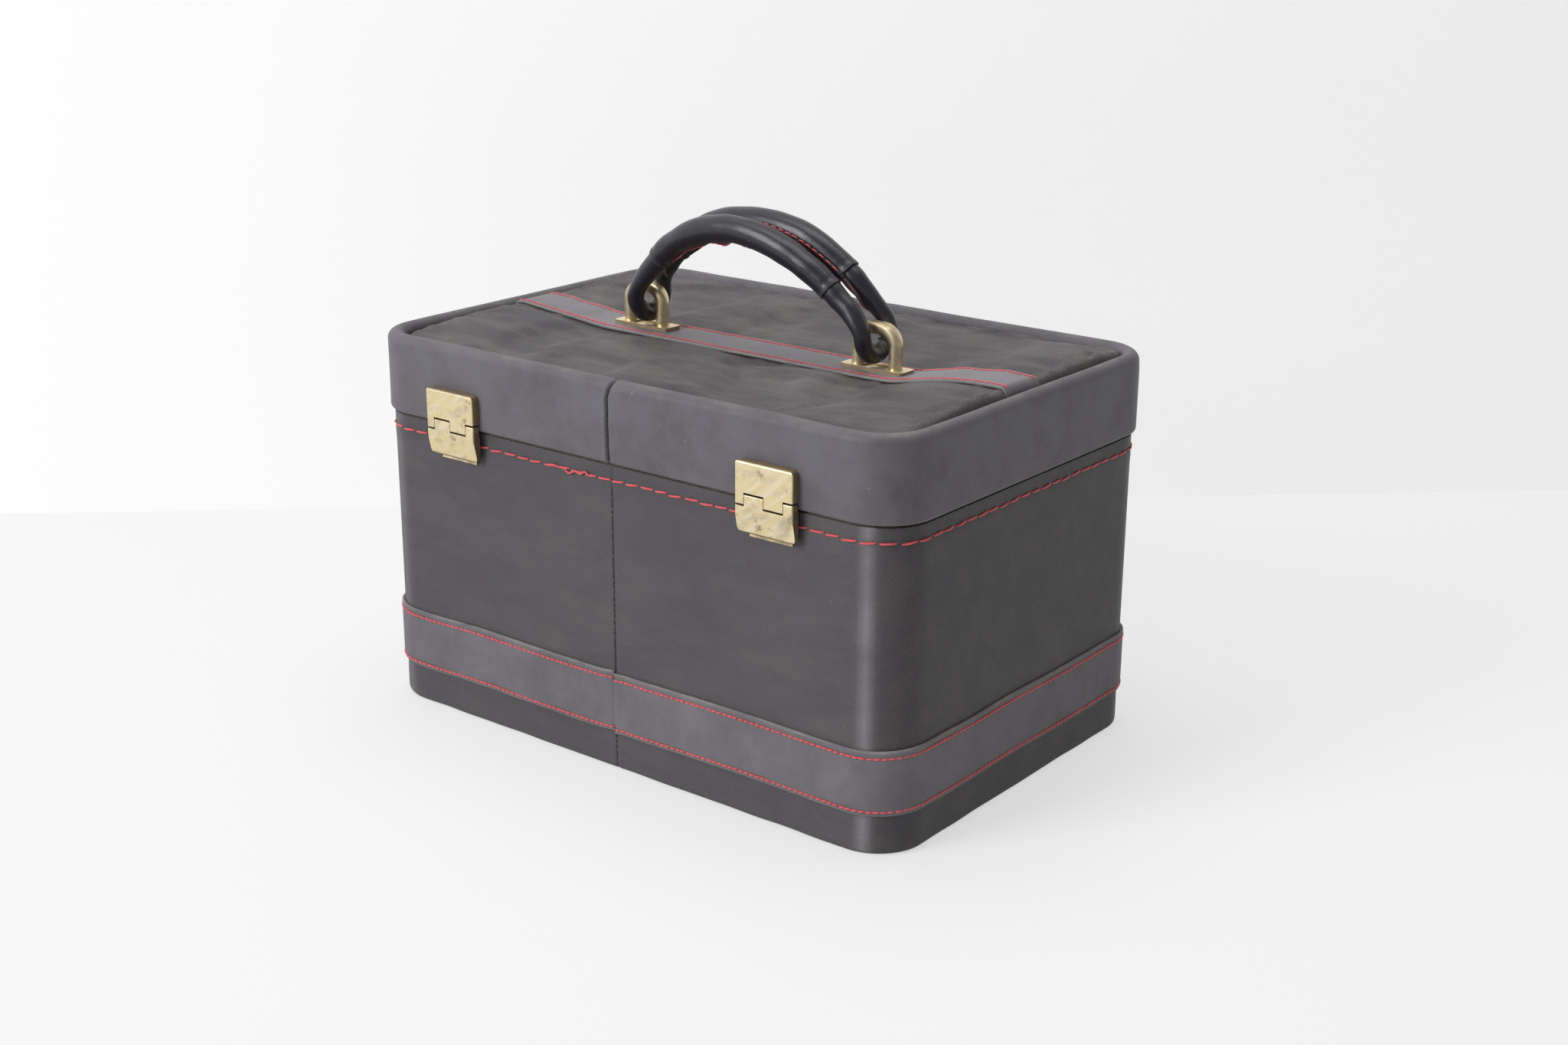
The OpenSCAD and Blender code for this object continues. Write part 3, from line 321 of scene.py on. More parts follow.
def raw_leather(colours):
    """Cut leather edge: pale, fibrous and uneven."""
    s = Shader("raw leather edge")
    place = s.object_place()
    fibres = s.noise(s.stretch(place, (400, 400, 900)), 1.0, 4.0, 0.7)
    colour = s.tinted(s.fade(s.noise(place, 160.0, 4.0), 0.35, 0.65), colours.raw, 0.3, 0.9)
    return s.finish(Base_Color=colour, Roughness=s.fade(fibres, 0.3, 0.7, 0.7, 0.95),
                    Normal=s.bump(fibres, 0.15 * MM))


def thread_finish(name, colour):
    """Waxed thread: twisted plies along the stitch."""
    s = Shader(name)
    along = s.attribute("weave", "Vector")
    plies = s.ribs(s.stretch(along, turn=(0, 0, math.radians(35))), 0.55 * MM)
    faded = s.noise(s.object_place(), 220.0, 3.0)
    tint = s.tinted(s.fade(faded, 0.35, 0.7), colour, 0.85, 1.2)
    return s.finish(Base_Color=s.mix(plies, shade(colour, 0.72), tint), Normal=s.bump(plies, 0.1 * MM),
                    Roughness=s.fade(plies, 0.0, 1.0, 0.7, 0.45), Sheen_Weight=0.2, Sheen_Roughness=0.5)


def aged_brass(colours, name="aged brass", front=None, painted_shade_above=None):
    """Old brass: pale slanting streaks, grey smears, brownish spots and fine scratches. Where these are given, the
    colour of the spots is painted as a dark reflection on the edges that turn away from the front axis, and as
    shade over a height."""
    s = Shader(name)
    place = s.object_place()
    streaks = s.noise(s.stretch(place, (420, 420, 42), (0, math.radians(-52), 0)), 1.0, 3.0, 0.55)
    smears = s.noise(s.stretch(place, (70, 70, 150), (0, math.radians(30), 0)), 1.0, 4.0, 0.6)
    blots = s.noise(place, 150.0, 5.0, 0.65)
    scratch = s.noise(s.stretch(place, (2600, 900, 160), (0, math.radians(38), 0)), 1.0, 3.0, 0.6)
    pale = s.fade(streaks, 0.47, 0.62, 0.0, 0.75)
    grey = s.fade(smears, 0.5, 0.64, 0.0, 0.6)
    brown_and_painted_shade = s.fade(blots, 0.57, 0.68, 0.0, 0.7)
    pale_brass, grey_film = (0.80, 0.72, 0.52), (0.50, 0.45, 0.35)
    colour = s.mix(grey, s.mix(pale, shade(colours.brass, 0.92), pale_brass), grey_film)
    if front:
        # Painted dark reflection on the bevels that turn away from the front axis.
        facing = s.add("ShaderNodeTexCoord", {}, "Normal")
        facing = s.math("ABSOLUTE", s.add("ShaderNodeSeparateXYZ", {0: facing}, front))
        edges = s.math("MULTIPLY", s.fade(facing, 0.93, 0.6, 0.0, 0.85), s.fade(blots, 0.2, 0.6, 0.7, 1.0))
        brown_and_painted_shade = s.math("MAXIMUM", brown_and_painted_shade, edges)
    # Painted shade over the given height.
    if painted_shade_above:
        height = s.fade(s.add("ShaderNodeSeparateXYZ", {0: place}, "Z"), painted_shade_above, painted_shade_above + 7 * MM, 0.0, 0.8)
        brown_and_painted_shade = s.math("MAXIMUM", brown_and_painted_shade, s.math("MULTIPLY", height, s.fade(smears, 0.35, 0.6)))
    colour = s.mix(brown_and_painted_shade, colour, colours.tarnish_and_painted_shade)
    colour = s.mix(s.fade(scratch, 0.7, 0.78), colour, shade(colours.brass, 1.2))
    rough = s.fade(scratch, 0.3, 0.7, 0.28, 0.42)
    roughness = s.math("MULTIPLY_ADD", s.math("MAXIMUM", grey, brown_and_painted_shade), 0.25, rough)
    normal = s.bump(scratch, 0.02 * MM, s.bump(blots, 0.05 * MM))
    return s.finish(Base_Color=colour, Metallic=1.0, Roughness=roughness, Normal=normal)


def fibre_board(colours):
    """Pressed board: short fibres and dark flecks."""
    s = Shader("fibre board")
    place = s.object_place()
    fibres = s.noise(s.stretch(place, (90, 90, 500)), 1.0, 5.0, 0.65)
    flecks = s.fade(s.noise(place, 700.0, 2.0), 0.6, 0.72)
    colour = s.tinted(s.fade(fibres, 0.35, 0.65), colours.board, 0.75, 1.15)
    return s.finish(Base_Color=s.mix(flecks, colour, shade(colours.board, 0.4)), Roughness=0.85,
                    Normal=s.bump(fibres, 0.1 * MM))


def lining_cloth(colours):
    """Plain weave lining with a soft nap."""
    s = Shader("lining")
    place = s.object_place()
    warp = s.ribs(place, 0.7 * MM, 0.5)
    weft = s.ribs(s.stretch(place, turn=(0, math.radians(90), math.radians(90))), 0.7 * MM, 0.5)
    height = s.math("MULTIPLY", warp, weft)
    stains = s.noise(place, 20.0, 4.0)
    colour = s.tinted(s.fade(stains, 0.35, 0.7), colours.lining, 0.85, 1.1)
    colour = s.mix(height, shade(colours.lining, 0.72), colour)
    return s.finish(Base_Color=colour, Roughness=0.88, Normal=s.bump(height, 0.12 * MM),
                    Sheen_Weight=0.15, Sheen_Roughness=0.5)


def twisted_cord(colours):
    """Piping cord: slanting strands."""
    s = Shader("piping cord")
    strands = s.ribs(s.stretch(s.object_place(), turn=(0.6, 0.5, 0.8)), 1.6 * MM)
    colour = s.tinted(strands, colours.lining, 0.6, 1.2)
    return s.finish(Base_Color=colour, Roughness=0.9, Normal=s.bump(strands, 0.3 * MM))


def plain_steel():
    """Rolled steel with faint brushing."""
    s = Shader("steel")
    brushed = s.noise(s.stretch(s.object_place(), (60, 2200, 60)), 1.0, 3.0)
    colour = s.mix(s.fade(brushed, 0.3, 0.7), (0.42, 0.42, 0.43), (0.6, 0.6, 0.61))
    return s.finish(Base_Color=colour, Metallic=1.0, Roughness=s.fade(brushed, 0.3, 0.7, 0.28, 0.42))


def mirror_silver():
    """Silvered glass with faint clouding."""
    s = Shader("mirror")
    cloud = s.noise(s.object_place(), 35.0, 5.0, 0.7)
    colour = s.mix(s.fade(cloud, 0.55, 0.8), (0.86, 0.87, 0.87), (0.62, 0.62, 0.6))
    return s.finish(Base_Color=colour, Metallic=1.0, Roughness=s.fade(cloud, 0.5, 0.85, 0.02, 0.22))


FINISHES = {}


def finishes():
    """Every finish by its name, made the first time that one is asked for."""
    if FINISHES:
        return FINISHES
    scene = bpy.context.scene
    colours, sizes = scene.case_colours, scene.case_sizes
    FINISHES.update({
        "woven_cloth": woven_cloth(colours, sizes),
        "flat_cloth": woven_cloth(colours, sizes, "flat woven cloth", None),
        "top_cloth": woven_cloth(colours, sizes, "dusty woven cloth", dusty=0.4, satin=0),
        "band_leather": leather("band leather", colours.band, colours, 0.54, 0.2),
        # The strap is the band leather 1.4 times lighter: a painted reflection of the glancing light.
        "strap_leather_painted_reflection": leather("strap leather", shade(colours.band, 1.4), colours, 0.5, 0.3),
        "lid_leather": leather("lid leather", colours.lid, colours, 0.48, 0.3, 1900.0),
        "handle_leather": leather("handle leather", colours.handle, colours, 0.28, 0.3, 1700.0, 0.5),
        "raw_leather": raw_leather(colours),
        "red_thread": thread_finish("red thread", colours.thread),
        "dark_thread": thread_finish("dark thread", (0.03, 0.028, 0.03)),
        "aged_brass": aged_brass(colours),
        # Latches and plates: painted dark reflection on their bevels.
        "latch_brass": aged_brass(colours, "latch brass", "Y"),
        "plate_brass": aged_brass(colours, "plate brass", "Z"),
        # Staple arch tops: painted dark reflection over the rods.
        "staple_brass": aged_brass(colours, "staple brass", painted_shade_above=ROD_Z - 3 * MM),
        # Latch catches: painted shade over nearly the whole part, which sits under its flap.
        "painted_shade_brass": aged_brass(colours, "dark brass", painted_shade_above=10 * MM),
        "board": fibre_board(colours),
        "lining": lining_cloth(colours),
        "piping_cord": twisted_cord(colours),
        "steel": plain_steel(),
        "mirror": mirror_silver(),
    })
    return FINISHES


def ease(t):
    """Rises from 0 to 1 along 3t squared minus 2t cubed, and holds outside."""
    t = np.clip(t, 0.0, 1.0)
    return t * t * (3.0 - 2.0 * t)


def hump(x, centre, width):
    """Bell curve of height 1 about the centre."""
    return np.exp(-(((x - centre) / width) ** 2))


def waviness(along, seed, shortest, longest, count=7):
    """Slow unevenness of about -1 to 1: seeded sine waves between two wavelengths, summed."""
    rng = np.random.default_rng(seed)
    lengths = rng.uniform(shortest, longest, count)
    phases = rng.uniform(0, 2 * math.pi, count)
    along = np.asarray(along)[..., None]
    return np.sin(2 * math.pi * along / lengths + phases).sum(-1) / math.sqrt(count)


def unit(v):
    return v / np.linalg.norm(v, axis=-1, keepdims=True)


def circle(count):
    """Even angles of a full turn."""
    return 2 * math.pi * np.arange(count) / count


def spread(a, b, out, up):
    """Offsets from the points of a path: a along its outward and b along its upward directions."""
    return a[..., None] * out[..., None, :] + b[..., None] * up[..., None, :]


def distance_along(path):
    """Distance of each point from the start of the path."""
    return np.concatenate([[0], np.cumsum(np.linalg.norm(np.diff(path, axis=0), axis=1))])


def facing(place, sy):
    """Normals of the straight wall at the front (-1) or the rear (1)."""
    return np.broadcast_to(np.array([0.0, sy, 0.0]), place.shape)


def grid_quads(rows, cols, wrap_rows):
    """Quads of a grid that closes on itself across its columns, and along its rows if asked."""
    i, j = np.meshgrid(np.arange(rows if wrap_rows else rows - 1), np.arange(cols), indexing="ij")
    after, beside = (i + 1) % rows, (j + 1) % cols
    corners = [i * cols + j, i * cols + beside, after * cols + beside, after * cols + j]
    return np.stack(corners, -1).reshape(-1, 4)


def linked(name, mesh, finish, smooth_angle):
    """Object with a mesh that is smooth except at its sharp edges."""
    mesh.polygons.foreach_set("use_smooth", np.ones(len(mesh.polygons), bool))
    mesh.set_sharp_from_angle(angle=math.radians(smooth_angle))
    mesh.materials.append(finishes()[finish])
    piece = bpy.data.objects.new(name, mesh)
    bpy.context.scene.collection.objects.link(piece)
    return piece


def add_piece(name, points, faces, finish, smooth_angle=60, **attributes):
    """Object from points and faces, with its faces turned outwards. An attribute has a vector or a number
    for each point."""
    mesh = bpy.data.meshes.new(name)
    mesh.from_pydata(points.reshape(-1, 3).tolist(), [], faces)
    work = bmesh.new()
    work.from_mesh(mesh)
    bmesh.ops.recalc_face_normals(work, faces=work.faces)
    work.to_mesh(mesh)
    work.free()
    for key, value in attributes.items():
        kind, field = ("FLOAT_VECTOR", "vector") if value.size == points.size else ("FLOAT", "value")
        mesh.attributes.new(key, kind, "POINT").data.foreach_set(field, value.astype(np.float32).ravel())
    return linked(name, mesh, finish, smooth_angle)


def place_piece(piece, body, finish, *nodes):
    """Rides the piece on its body and hides the nodes that it stands for. The finish is not used."""
    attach(piece, body)
    if nodes:
        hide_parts(*nodes)
    return piece


def swept(name, grid, finish, body, *nodes, ring=False, **more):
    """Piece from sections, placed on its body: grid holds closed sections in a row, capped at both ends or
    joined in a ring."""
    rows, cols = grid.shape[:2]
    faces = grid_quads(rows, cols, ring).tolist()
    if not ring:
        faces += [list(range(cols)), list(range((rows - 1) * cols, rows * cols))]
    return place_piece(add_piece(name, grid, faces, finish, **more), body, finish, *nodes)


def ring_runs(w, d, r):
    """Distances along half of a rounded outline at which its runs end: front, turn, side, turn, rear."""
    return np.cumsum([w - r, r * math.pi / 2, 2 * (d - r), r * math.pi / 2, w - r])


def ring_at(side, w, d, r, s):
    """Places and outward normals on half of a rounded outline, s away from the front seam.
    x runs w - r, turns by r, holds, turns and runs back; y starts at -d and ends at d."""
    runs = ring_runs(w, d, r)
    first = np.clip((s - runs[0]) / r, 0, math.pi / 2)
    second = np.clip((s - runs[2]) / r, 0, math.pi / 2)
    x = np.clip(s, None, w - r) + r * np.sin(first) + r * (np.cos(second) - 1) - np.clip(s - runs[3], 0, None)
    y = -d + r * (1 - np.cos(first)) + np.clip(s - runs[1], 0, 2 * (d - r)) + r * np.sin(second)
    turn = first + second
    zero = np.zeros_like(x)
    return np.stack([side * x, y, zero], -1), np.stack([side * np.sin(turn), -np.cos(turn), zero], -1)


def ring_steps(w, d, r, step, seam_step=0.7 * MM):
    """Distances along the half outline, closer together beside both seams."""
    length, zone = ring_runs(w, d, r)[-1], 14 * MM
    near = np.arange(0, zone, seam_step)
    middle = np.linspace(zone, length - zone, int((length - 2 * zone) / step))
    return np.concatenate([near, middle, length - near[::-1]])


def strip_section(line, thick, rounds=3):
    """Closed section of a sheet: outer face along the line, squarish rounded edge, inner face, other edge.
    Gives its points, 1 on the outer face or 0, the distance along the line, and 1 on the edges."""
    along = unit(np.gradient(line, axis=0))
    out = np.stack([along[:, 1], -along[:, 0]], -1)
    inner = line - out * thick
    angles = np.pi * (np.arange(rounds) + 0.5) / rounds
    c = np.sign(np.cos(angles)) * np.abs(np.cos(angles)) ** 0.6
    k = np.sin(angles) ** 0.6
    end = (line[-1] + inner[-1]) / 2 + thick / 2 * (c[:, None] * out[-1] + k[:, None] * along[-1])
    start = (line[0] + inner[0]) / 2 - thick / 2 * (c[:, None] * out[0] + k[:, None] * along[0])
    run = distance_along(line)
    face = np.concatenate([np.ones(len(line)), np.zeros(2 * rounds + len(line))])
    edge = np.zeros(len(face))
    edge[len(line):len(line) + rounds] = 1
    edge[-rounds:] = 1
    runs = np.concatenate([run, np.full(rounds, run[-1]), run[::-1], np.zeros(rounds)])
    return np.concatenate([line, end, inner[::-1], start]), face, runs, edge


def arc_line(centre, radius, start, end, count):
    """Points on a circle in the section's plane, between two angles in degrees."""
    a = np.radians(np.linspace(start, end, count))
    return np.stack([centre[0] + radius * np.cos(a), centre[1] + radius * np.sin(a)], -1)


def straight(a, b, step):
    """Evenly spaced points from a to b, ends included."""
    count = max(2, int(math.dist(a, b) / step) + 1)
    return np.linspace(a, b, count)


def joined(*lines):
    """One line from several, leaving out the point that two share."""
    return np.concatenate([lines[0]] + [line[1:] for line in lines[1:]])


def wall_grid(side, outline, steps, section, relief, rise=0):
    """Carries a section round half of an outline. Relief moves its outer face outwards, rise moves it up."""
    points, face = section[:2]
    place, out = ring_at(side, *outline, steps[:, None] + 0 * face)
    grid = place + out * (points[:, 0] + relief * face)[..., None]
    grid[..., 2] += points[:, 1] + rise
    return grid


def stitch_piece(name, body, curve, starts, length, radius, finish="red_thread", lift=0.35, rings=6):
    """Stitches as short bent threads. Each follows the curve from its start for its length, and rises out
    of the surface and sinks back as a flattened half sine; its radius thins the same way at both ends."""
    t = np.linspace(0, 1, rings)
    rise = np.sin(math.pi * np.clip(t, 0.02, 0.98)) ** 0.3
    runs = np.broadcast_to(length, starts.shape)[:, None] * t
    place, up = curve(starts[:, None] + runs, t + 0 * runs)
    centre = place + up * (radius * (lift * 2 * rise - 0.45))[:, None]
    across = unit(np.cross(unit(np.gradient(centre, axis=1)), up))
    angle = circle(6)
    girth = (radius * (0.5 + 0.5 * rise))[:, None, None]
    points = centre[:, :, None] + girth * spread(np.cos(angle), np.sin(angle), across, up)
    sides, each = len(angle), rings * len(angle)
    first = np.arange(len(starts))[:, None, None] * each
    faces = (first + grid_quads(rings, sides, False)).reshape(-1, 4).tolist()
    caps = np.stack([np.arange(sides), each - 1 - np.arange(sides)])
    faces += (first + caps).reshape(-1, sides).tolist()
    weave = np.zeros(points.shape)
    weave[..., 0] = runs[..., None]
    weave[..., 1] = radius * angle
    return place_piece(add_piece(name, points, faces, finish, weave=weave), body, finish)


def jittered(start, end, pitch, seed, share=0.08):
    """Starts of stitches about a pitch apart, each a little out of place."""
    rng = np.random.default_rng(seed)
    starts = np.arange(start, end - pitch, pitch)
    return starts + rng.uniform(-share, share, len(starts)) * pitch


def worn_copy(node, name, body, finish, width, segments=2):
    """Copy of a brass CAD node with its doubles merged, flat faces joined and edges rounded off."""
    mesh = frame["nodes"][node].data.copy()
    mesh.name = name
    mesh.materials.clear()
    work = bmesh.new()
    work.from_mesh(mesh)
    bmesh.ops.remove_doubles(work, verts=work.verts, dist=0.002 * MM)
    bmesh.ops.dissolve_limit(work, angle_limit=math.radians(1), verts=work.verts, edges=work.edges)
    work.to_mesh(mesh)
    work.free()
    piece = linked(name, mesh, finish, 30)
    bevel = piece.modifiers.new("Rounded edges", "BEVEL")
    bevel.width = width
    bevel.segments = segments
    bevel.limit_method = "ANGLE"
    bevel.angle_limit = math.radians(35)
    bevel.harden_normals = True
    return place_piece(piece, body, finish, node)


class CASE_OT_stage(bpy.types.Operator):
    """Pale floor, plain wall, soft light and the camera"""

    bl_idname = "case.stage"
    bl_label = "Stage"

    reach = 8.0
    wall_turn = math.radians(42.04)
    wall_back = 0.342
    wall_high = 3.0

    def plane(self, name, middle, a, b):
        """Flat plane that reaches from its middle by a and by b to both sides."""
        return add_piece(name, middle + np.array([-a - b, a - b, a + b, b - a]), [[0, 1, 2, 3]], "board")

    def floor_and_wall(self, settings):
        """Floor plane, and a wall whose foot runs behind the case, seen only from its front."""
        x, y, z = np.eye(3)
        c, k = math.cos(self.wall_turn), math.sin(self.wall_turn)
        along, back, half_up = c * x + k * y, c * y - k * x, self.wall_high / 2 * z
        floor = self.plane("stage_floor", 0 * z, self.reach * x, self.reach * y)
        wall = self.plane("stage_wall", self.wall_back * back + half_up, self.reach * along, half_up)
        for piece, near, far, one_sided in ((floor, (0.95, 0.94, 0.935), (0.91, 0.91, 0.915), False),
                                            (wall, (1.08, 1.08, 1.08), (0.9, 0.9, 0.9), True)):
            piece.data.materials[0] = self.pale(piece.name, settings.floor, near, far, one_sided)
        wall.visible_diffuse = False
        wall.visible_shadow = False

    def pale(self, name, colour, near, far, one_sided):
        """Matt pale surface that the camera and mirrors see nearly white, with the shadows kept. It is
        lighter at its left end, where the window is."""
        s = Shader(name)
        nodes = s.tree.nodes
        s.finish(Base_Color=colour, Roughness=0.9)
        across = s.add("ShaderNodeSeparateXYZ", {0: s.object_place()}, "X")
        shown = s.mix(s.fade(across, -0.7, 0.7), near, far)
        glow = s.add("ShaderNodeEmission", {"Color": shown, "Strength": 1.0})
        path = nodes.new("ShaderNodeLightPath")
        seen = s.math("MAXIMUM", path.outputs["Is Camera Ray"], path.outputs["Is Glossy Ray"])
        seen = s.math("MAXIMUM", seen, path.outputs["Is Transmission Ray"])
        cloud = s.noise(s.object_place(), 1.3, 4.0)
        share = s.math("MULTIPLY", seen, s.fade(cloud, 0.2, 0.8, 0.68, 0.6))
        result = s.add("ShaderNodeMixShader", {0: share, 1: s.principled.outputs[0], 2: glow})
        if one_sided:
            behind = s.add("ShaderNodeNewGeometry", {}, "Backfacing")
            clear = s.add("ShaderNodeBsdfTransparent", {})
            result = s.add("ShaderNodeMixShader", {0: behind, 1: result, 2: clear})
        s.tree.links.new(result, nodes["Material Output"].inputs["Surface"])
        return s.material

    def lamp(self, name, place, target, size, power, colour):
        data = bpy.data.lights.new(name, "AREA")
        data.shape = "RECTANGLE"
        data.size, data.size_y = size
        data.energy = power
        data.color = colour
        lamp = bpy.data.objects.new(name, data)
        lamp.location = place
        lamp.rotation_euler = (Vector(target) - Vector(place)).to_track_quat("-Z", "Y").to_euler()
        bpy.context.scene.collection.objects.link(lamp)

    def room(self, strength):
        world = bpy.data.worlds.new("room")
        world.use_nodes = True
        nodes, links = world.node_tree.nodes, world.node_tree.links
        light = nodes["Background"]
        light.inputs["Color"].default_value = (1.0, 0.975, 0.96, 1)
        light.inputs["Strength"].default_value = strength
        white = nodes.new("ShaderNodeBackground")
        white.inputs["Color"].default_value = (0.93, 0.93, 0.93, 1)
        path = nodes.new("ShaderNodeLightPath")
        mix = nodes.new("ShaderNodeMixShader")
        links.new(path.outputs["Is Camera Ray"], mix.inputs[0])
        links.new(light.outputs[0], mix.inputs[1])
        links.new(white.outputs[0], mix.inputs[2])
        links.new(mix.outputs[0], nodes["World Output"].inputs["Surface"])
        bpy.context.scene.world = world

    def camera(self):
        a, e, roll = CAMERA_AZIMUTH, CAMERA_ELEVATION, CAMERA_ROLL
        back = Vector((math.sin(a) * math.cos(e), -math.cos(a) * math.cos(e), math.sin(e)))
        right = (-back).cross(Vector((0, 0, 1))).normalized()
        up = right.cross(-back)
        turned = right * math.cos(roll) + up * math.sin(roll)
        upright = up * math.cos(roll) - right * math.sin(roll)
        data = bpy.data.cameras.new("camera")
        data.lens = CAMERA_LENS
        data.sensor_width = 36.0
        data.shift_y = CAMERA_SHIFT
        camera = bpy.data.objects.new("camera", data)
        columns = Matrix((turned, upright, back)).transposed().to_4x4()
        camera.matrix_world = Matrix.Translation(CAMERA_PLACE) @ columns
        bpy.context.scene.collection.objects.link(camera)
        bpy.context.scene.camera = camera

    def execute(self, context):
        settings = context.scene.case_stage
        context.scene.view_settings.view_transform = "Standard"
        self.camera()
        self.floor_and_wall(settings)
        self.room(settings.world)
        self.lamp("window", (-0.95, -2.35, 1.5), (0, 0, 0.1), (1.1, 1.7), settings.key, (0.98, 0.985, 1.03))
        self.lamp("top", (-0.2, 0.1, 2.2), (0, 0, 0.15), (1.8, 1.8), settings.key * 0.5, (1, 1, 1))
        return {"FINISHED"}


class CASE_OT_body_cover(bpy.types.Operator):
    """Woven cloth over the body, in two halves, with the dark seam between them"""

    bl_idname = "case.body_cover"
    bl_label = "Body cover"

    # How far into each corner the painted highlight line lies.
    rub_in = 8.2 * MM
    seam_pitch = 2.9 * MM

    def section(self):
        """Under the case, round the bottom edge and up the wall to the lid."""
        line = joined(
            straight((-TURN_UNDER, 0), (-FOOT_R, 0), 3 * MM),
            arc_line((-FOOT_R, FOOT_R), FOOT_R, -90, 0, 7),
            straight((0, FOOT_R), (0, BAND_LOW), 3 * MM),
            straight((0, BAND_LOW), (0, BAND_HIGH), 8 * MM),
            straight((0, BAND_HIGH), (0, ROW_Z - 4 * MM), 4 * MM),
            straight((0, ROW_Z - 4 * MM), (0, COVER_TOP - 0.5 * MM), 1 * MM),
        )
        return strip_section(line, COVER_T - 0.05 * MM)

    def relief(self, s, z, side):
        """Slow unevenness, a shallow groove under the long stitches with a dip at each end, a crease at
        the seam, and below the band a cloth edge that bulges and draws in."""
        slow = 0.12 * waviness(s, 3 + side, 0.06, 0.2) * (0.6 + 0.4 * np.sin(z / 0.04))
        pitch = bpy.context.scene.case_sizes.long_stitch
        groove = -0.22 * hump(z, ROW_Z, 1.3 * MM) * (0.6 + 0.4 * np.cos(2 * math.pi * s / pitch))
        puff = 0.16 * hump(z, ROW_Z - 3.4 * MM, 2.4 * MM)
        seam = -0.38 * hump(s, 0, 0.6 * MM) + 0.1 * hump(s, 2.2 * MM, 1.2 * MM)
        low = ease((BAND_LOW - z) / (9 * MM))
        foot = low * (0.22 * waviness(s, 17 + side, 0.025, 0.08) + 0.25)
        hidden = 1 - ease((z - BAND_LOW + 1 * MM) / MM) * ease((BAND_HIGH - 1 * MM - z) / MM)
        return MM * hidden * (slow * (1 - low) + groove + puff + seam + foot)

    def execute(self, context):
        section = self.section()
        steps = ring_steps(*BODY, 2.3 * MM)
        first, *_, length = ring_runs(*BODY)
        turn = first + self.rub_in
        s, z = steps[:, None], section[0][:, 1]
        weave = np.stack([s + 0 * z, section[2] + 0 * s, 0 * s * z], -1)
        wear = 0.14 * hump(z, 3 * MM, 3 * MM) + 0.16 * hump(z, BAND_HIGH, 2.5 * MM) + 0 * s
        # Painted highlight: a narrow upright line beside the front corner, 0.4 as strong beside the rear one, and
        # a quarter as strong on the left half.
        rub = (hump(s, turn, 3.2 * MM) + 0.4 * hump(s, length - turn, 3.2 * MM)) * ease(z / (2 * MM))
        rub = rub * np.clip(0.85 + 0.2 * waviness(z, 5, 0.01, 0.06), 0, 1)
        for side, name in SIDES:
            relief = self.relief(np.minimum(s, length - s), z, side)
            grid = wall_grid(side, BODY, steps, section, relief)
            piece = swept(f"cloth_cover_{name}", grid, "woven_cloth", "case_body", f"body_cover_{name}",
                          weave=weave, wear=wear, rub=rub * (1 if side > 0 else 0.25))
        for sy, name in ENDS:
            self.seam_thread(sy, name)
        return {"FINISHED"}

    def seam_thread(self, sy, name):
        """Dark zig-zag stitches up the seam between the halves."""

        def curve(z, t):
            lean = 0.9 * MM * (t - 0.5) * np.where((z / self.seam_pitch).astype(int) % 2, 1, -1)
            place = np.stack([lean, sy * BODY_D + 0 * z, z], -1)
            return place, facing(place, sy)

        low = jittered(2 * MM, BAND_LOW, self.seam_pitch, 4)
        high = jittered(BAND_HIGH + MM, ROW_Z - 2 * MM, self.seam_pitch, 5)
        starts = np.concatenate([low, high])
        starts += np.random.default_rng(8).uniform(-0.2, 0.2, len(starts)) * MM
        stitch_piece(f"seam_thread_{name}", "case_body", curve, starts, 2.1 * MM, 0.22 * MM, "dark_thread")


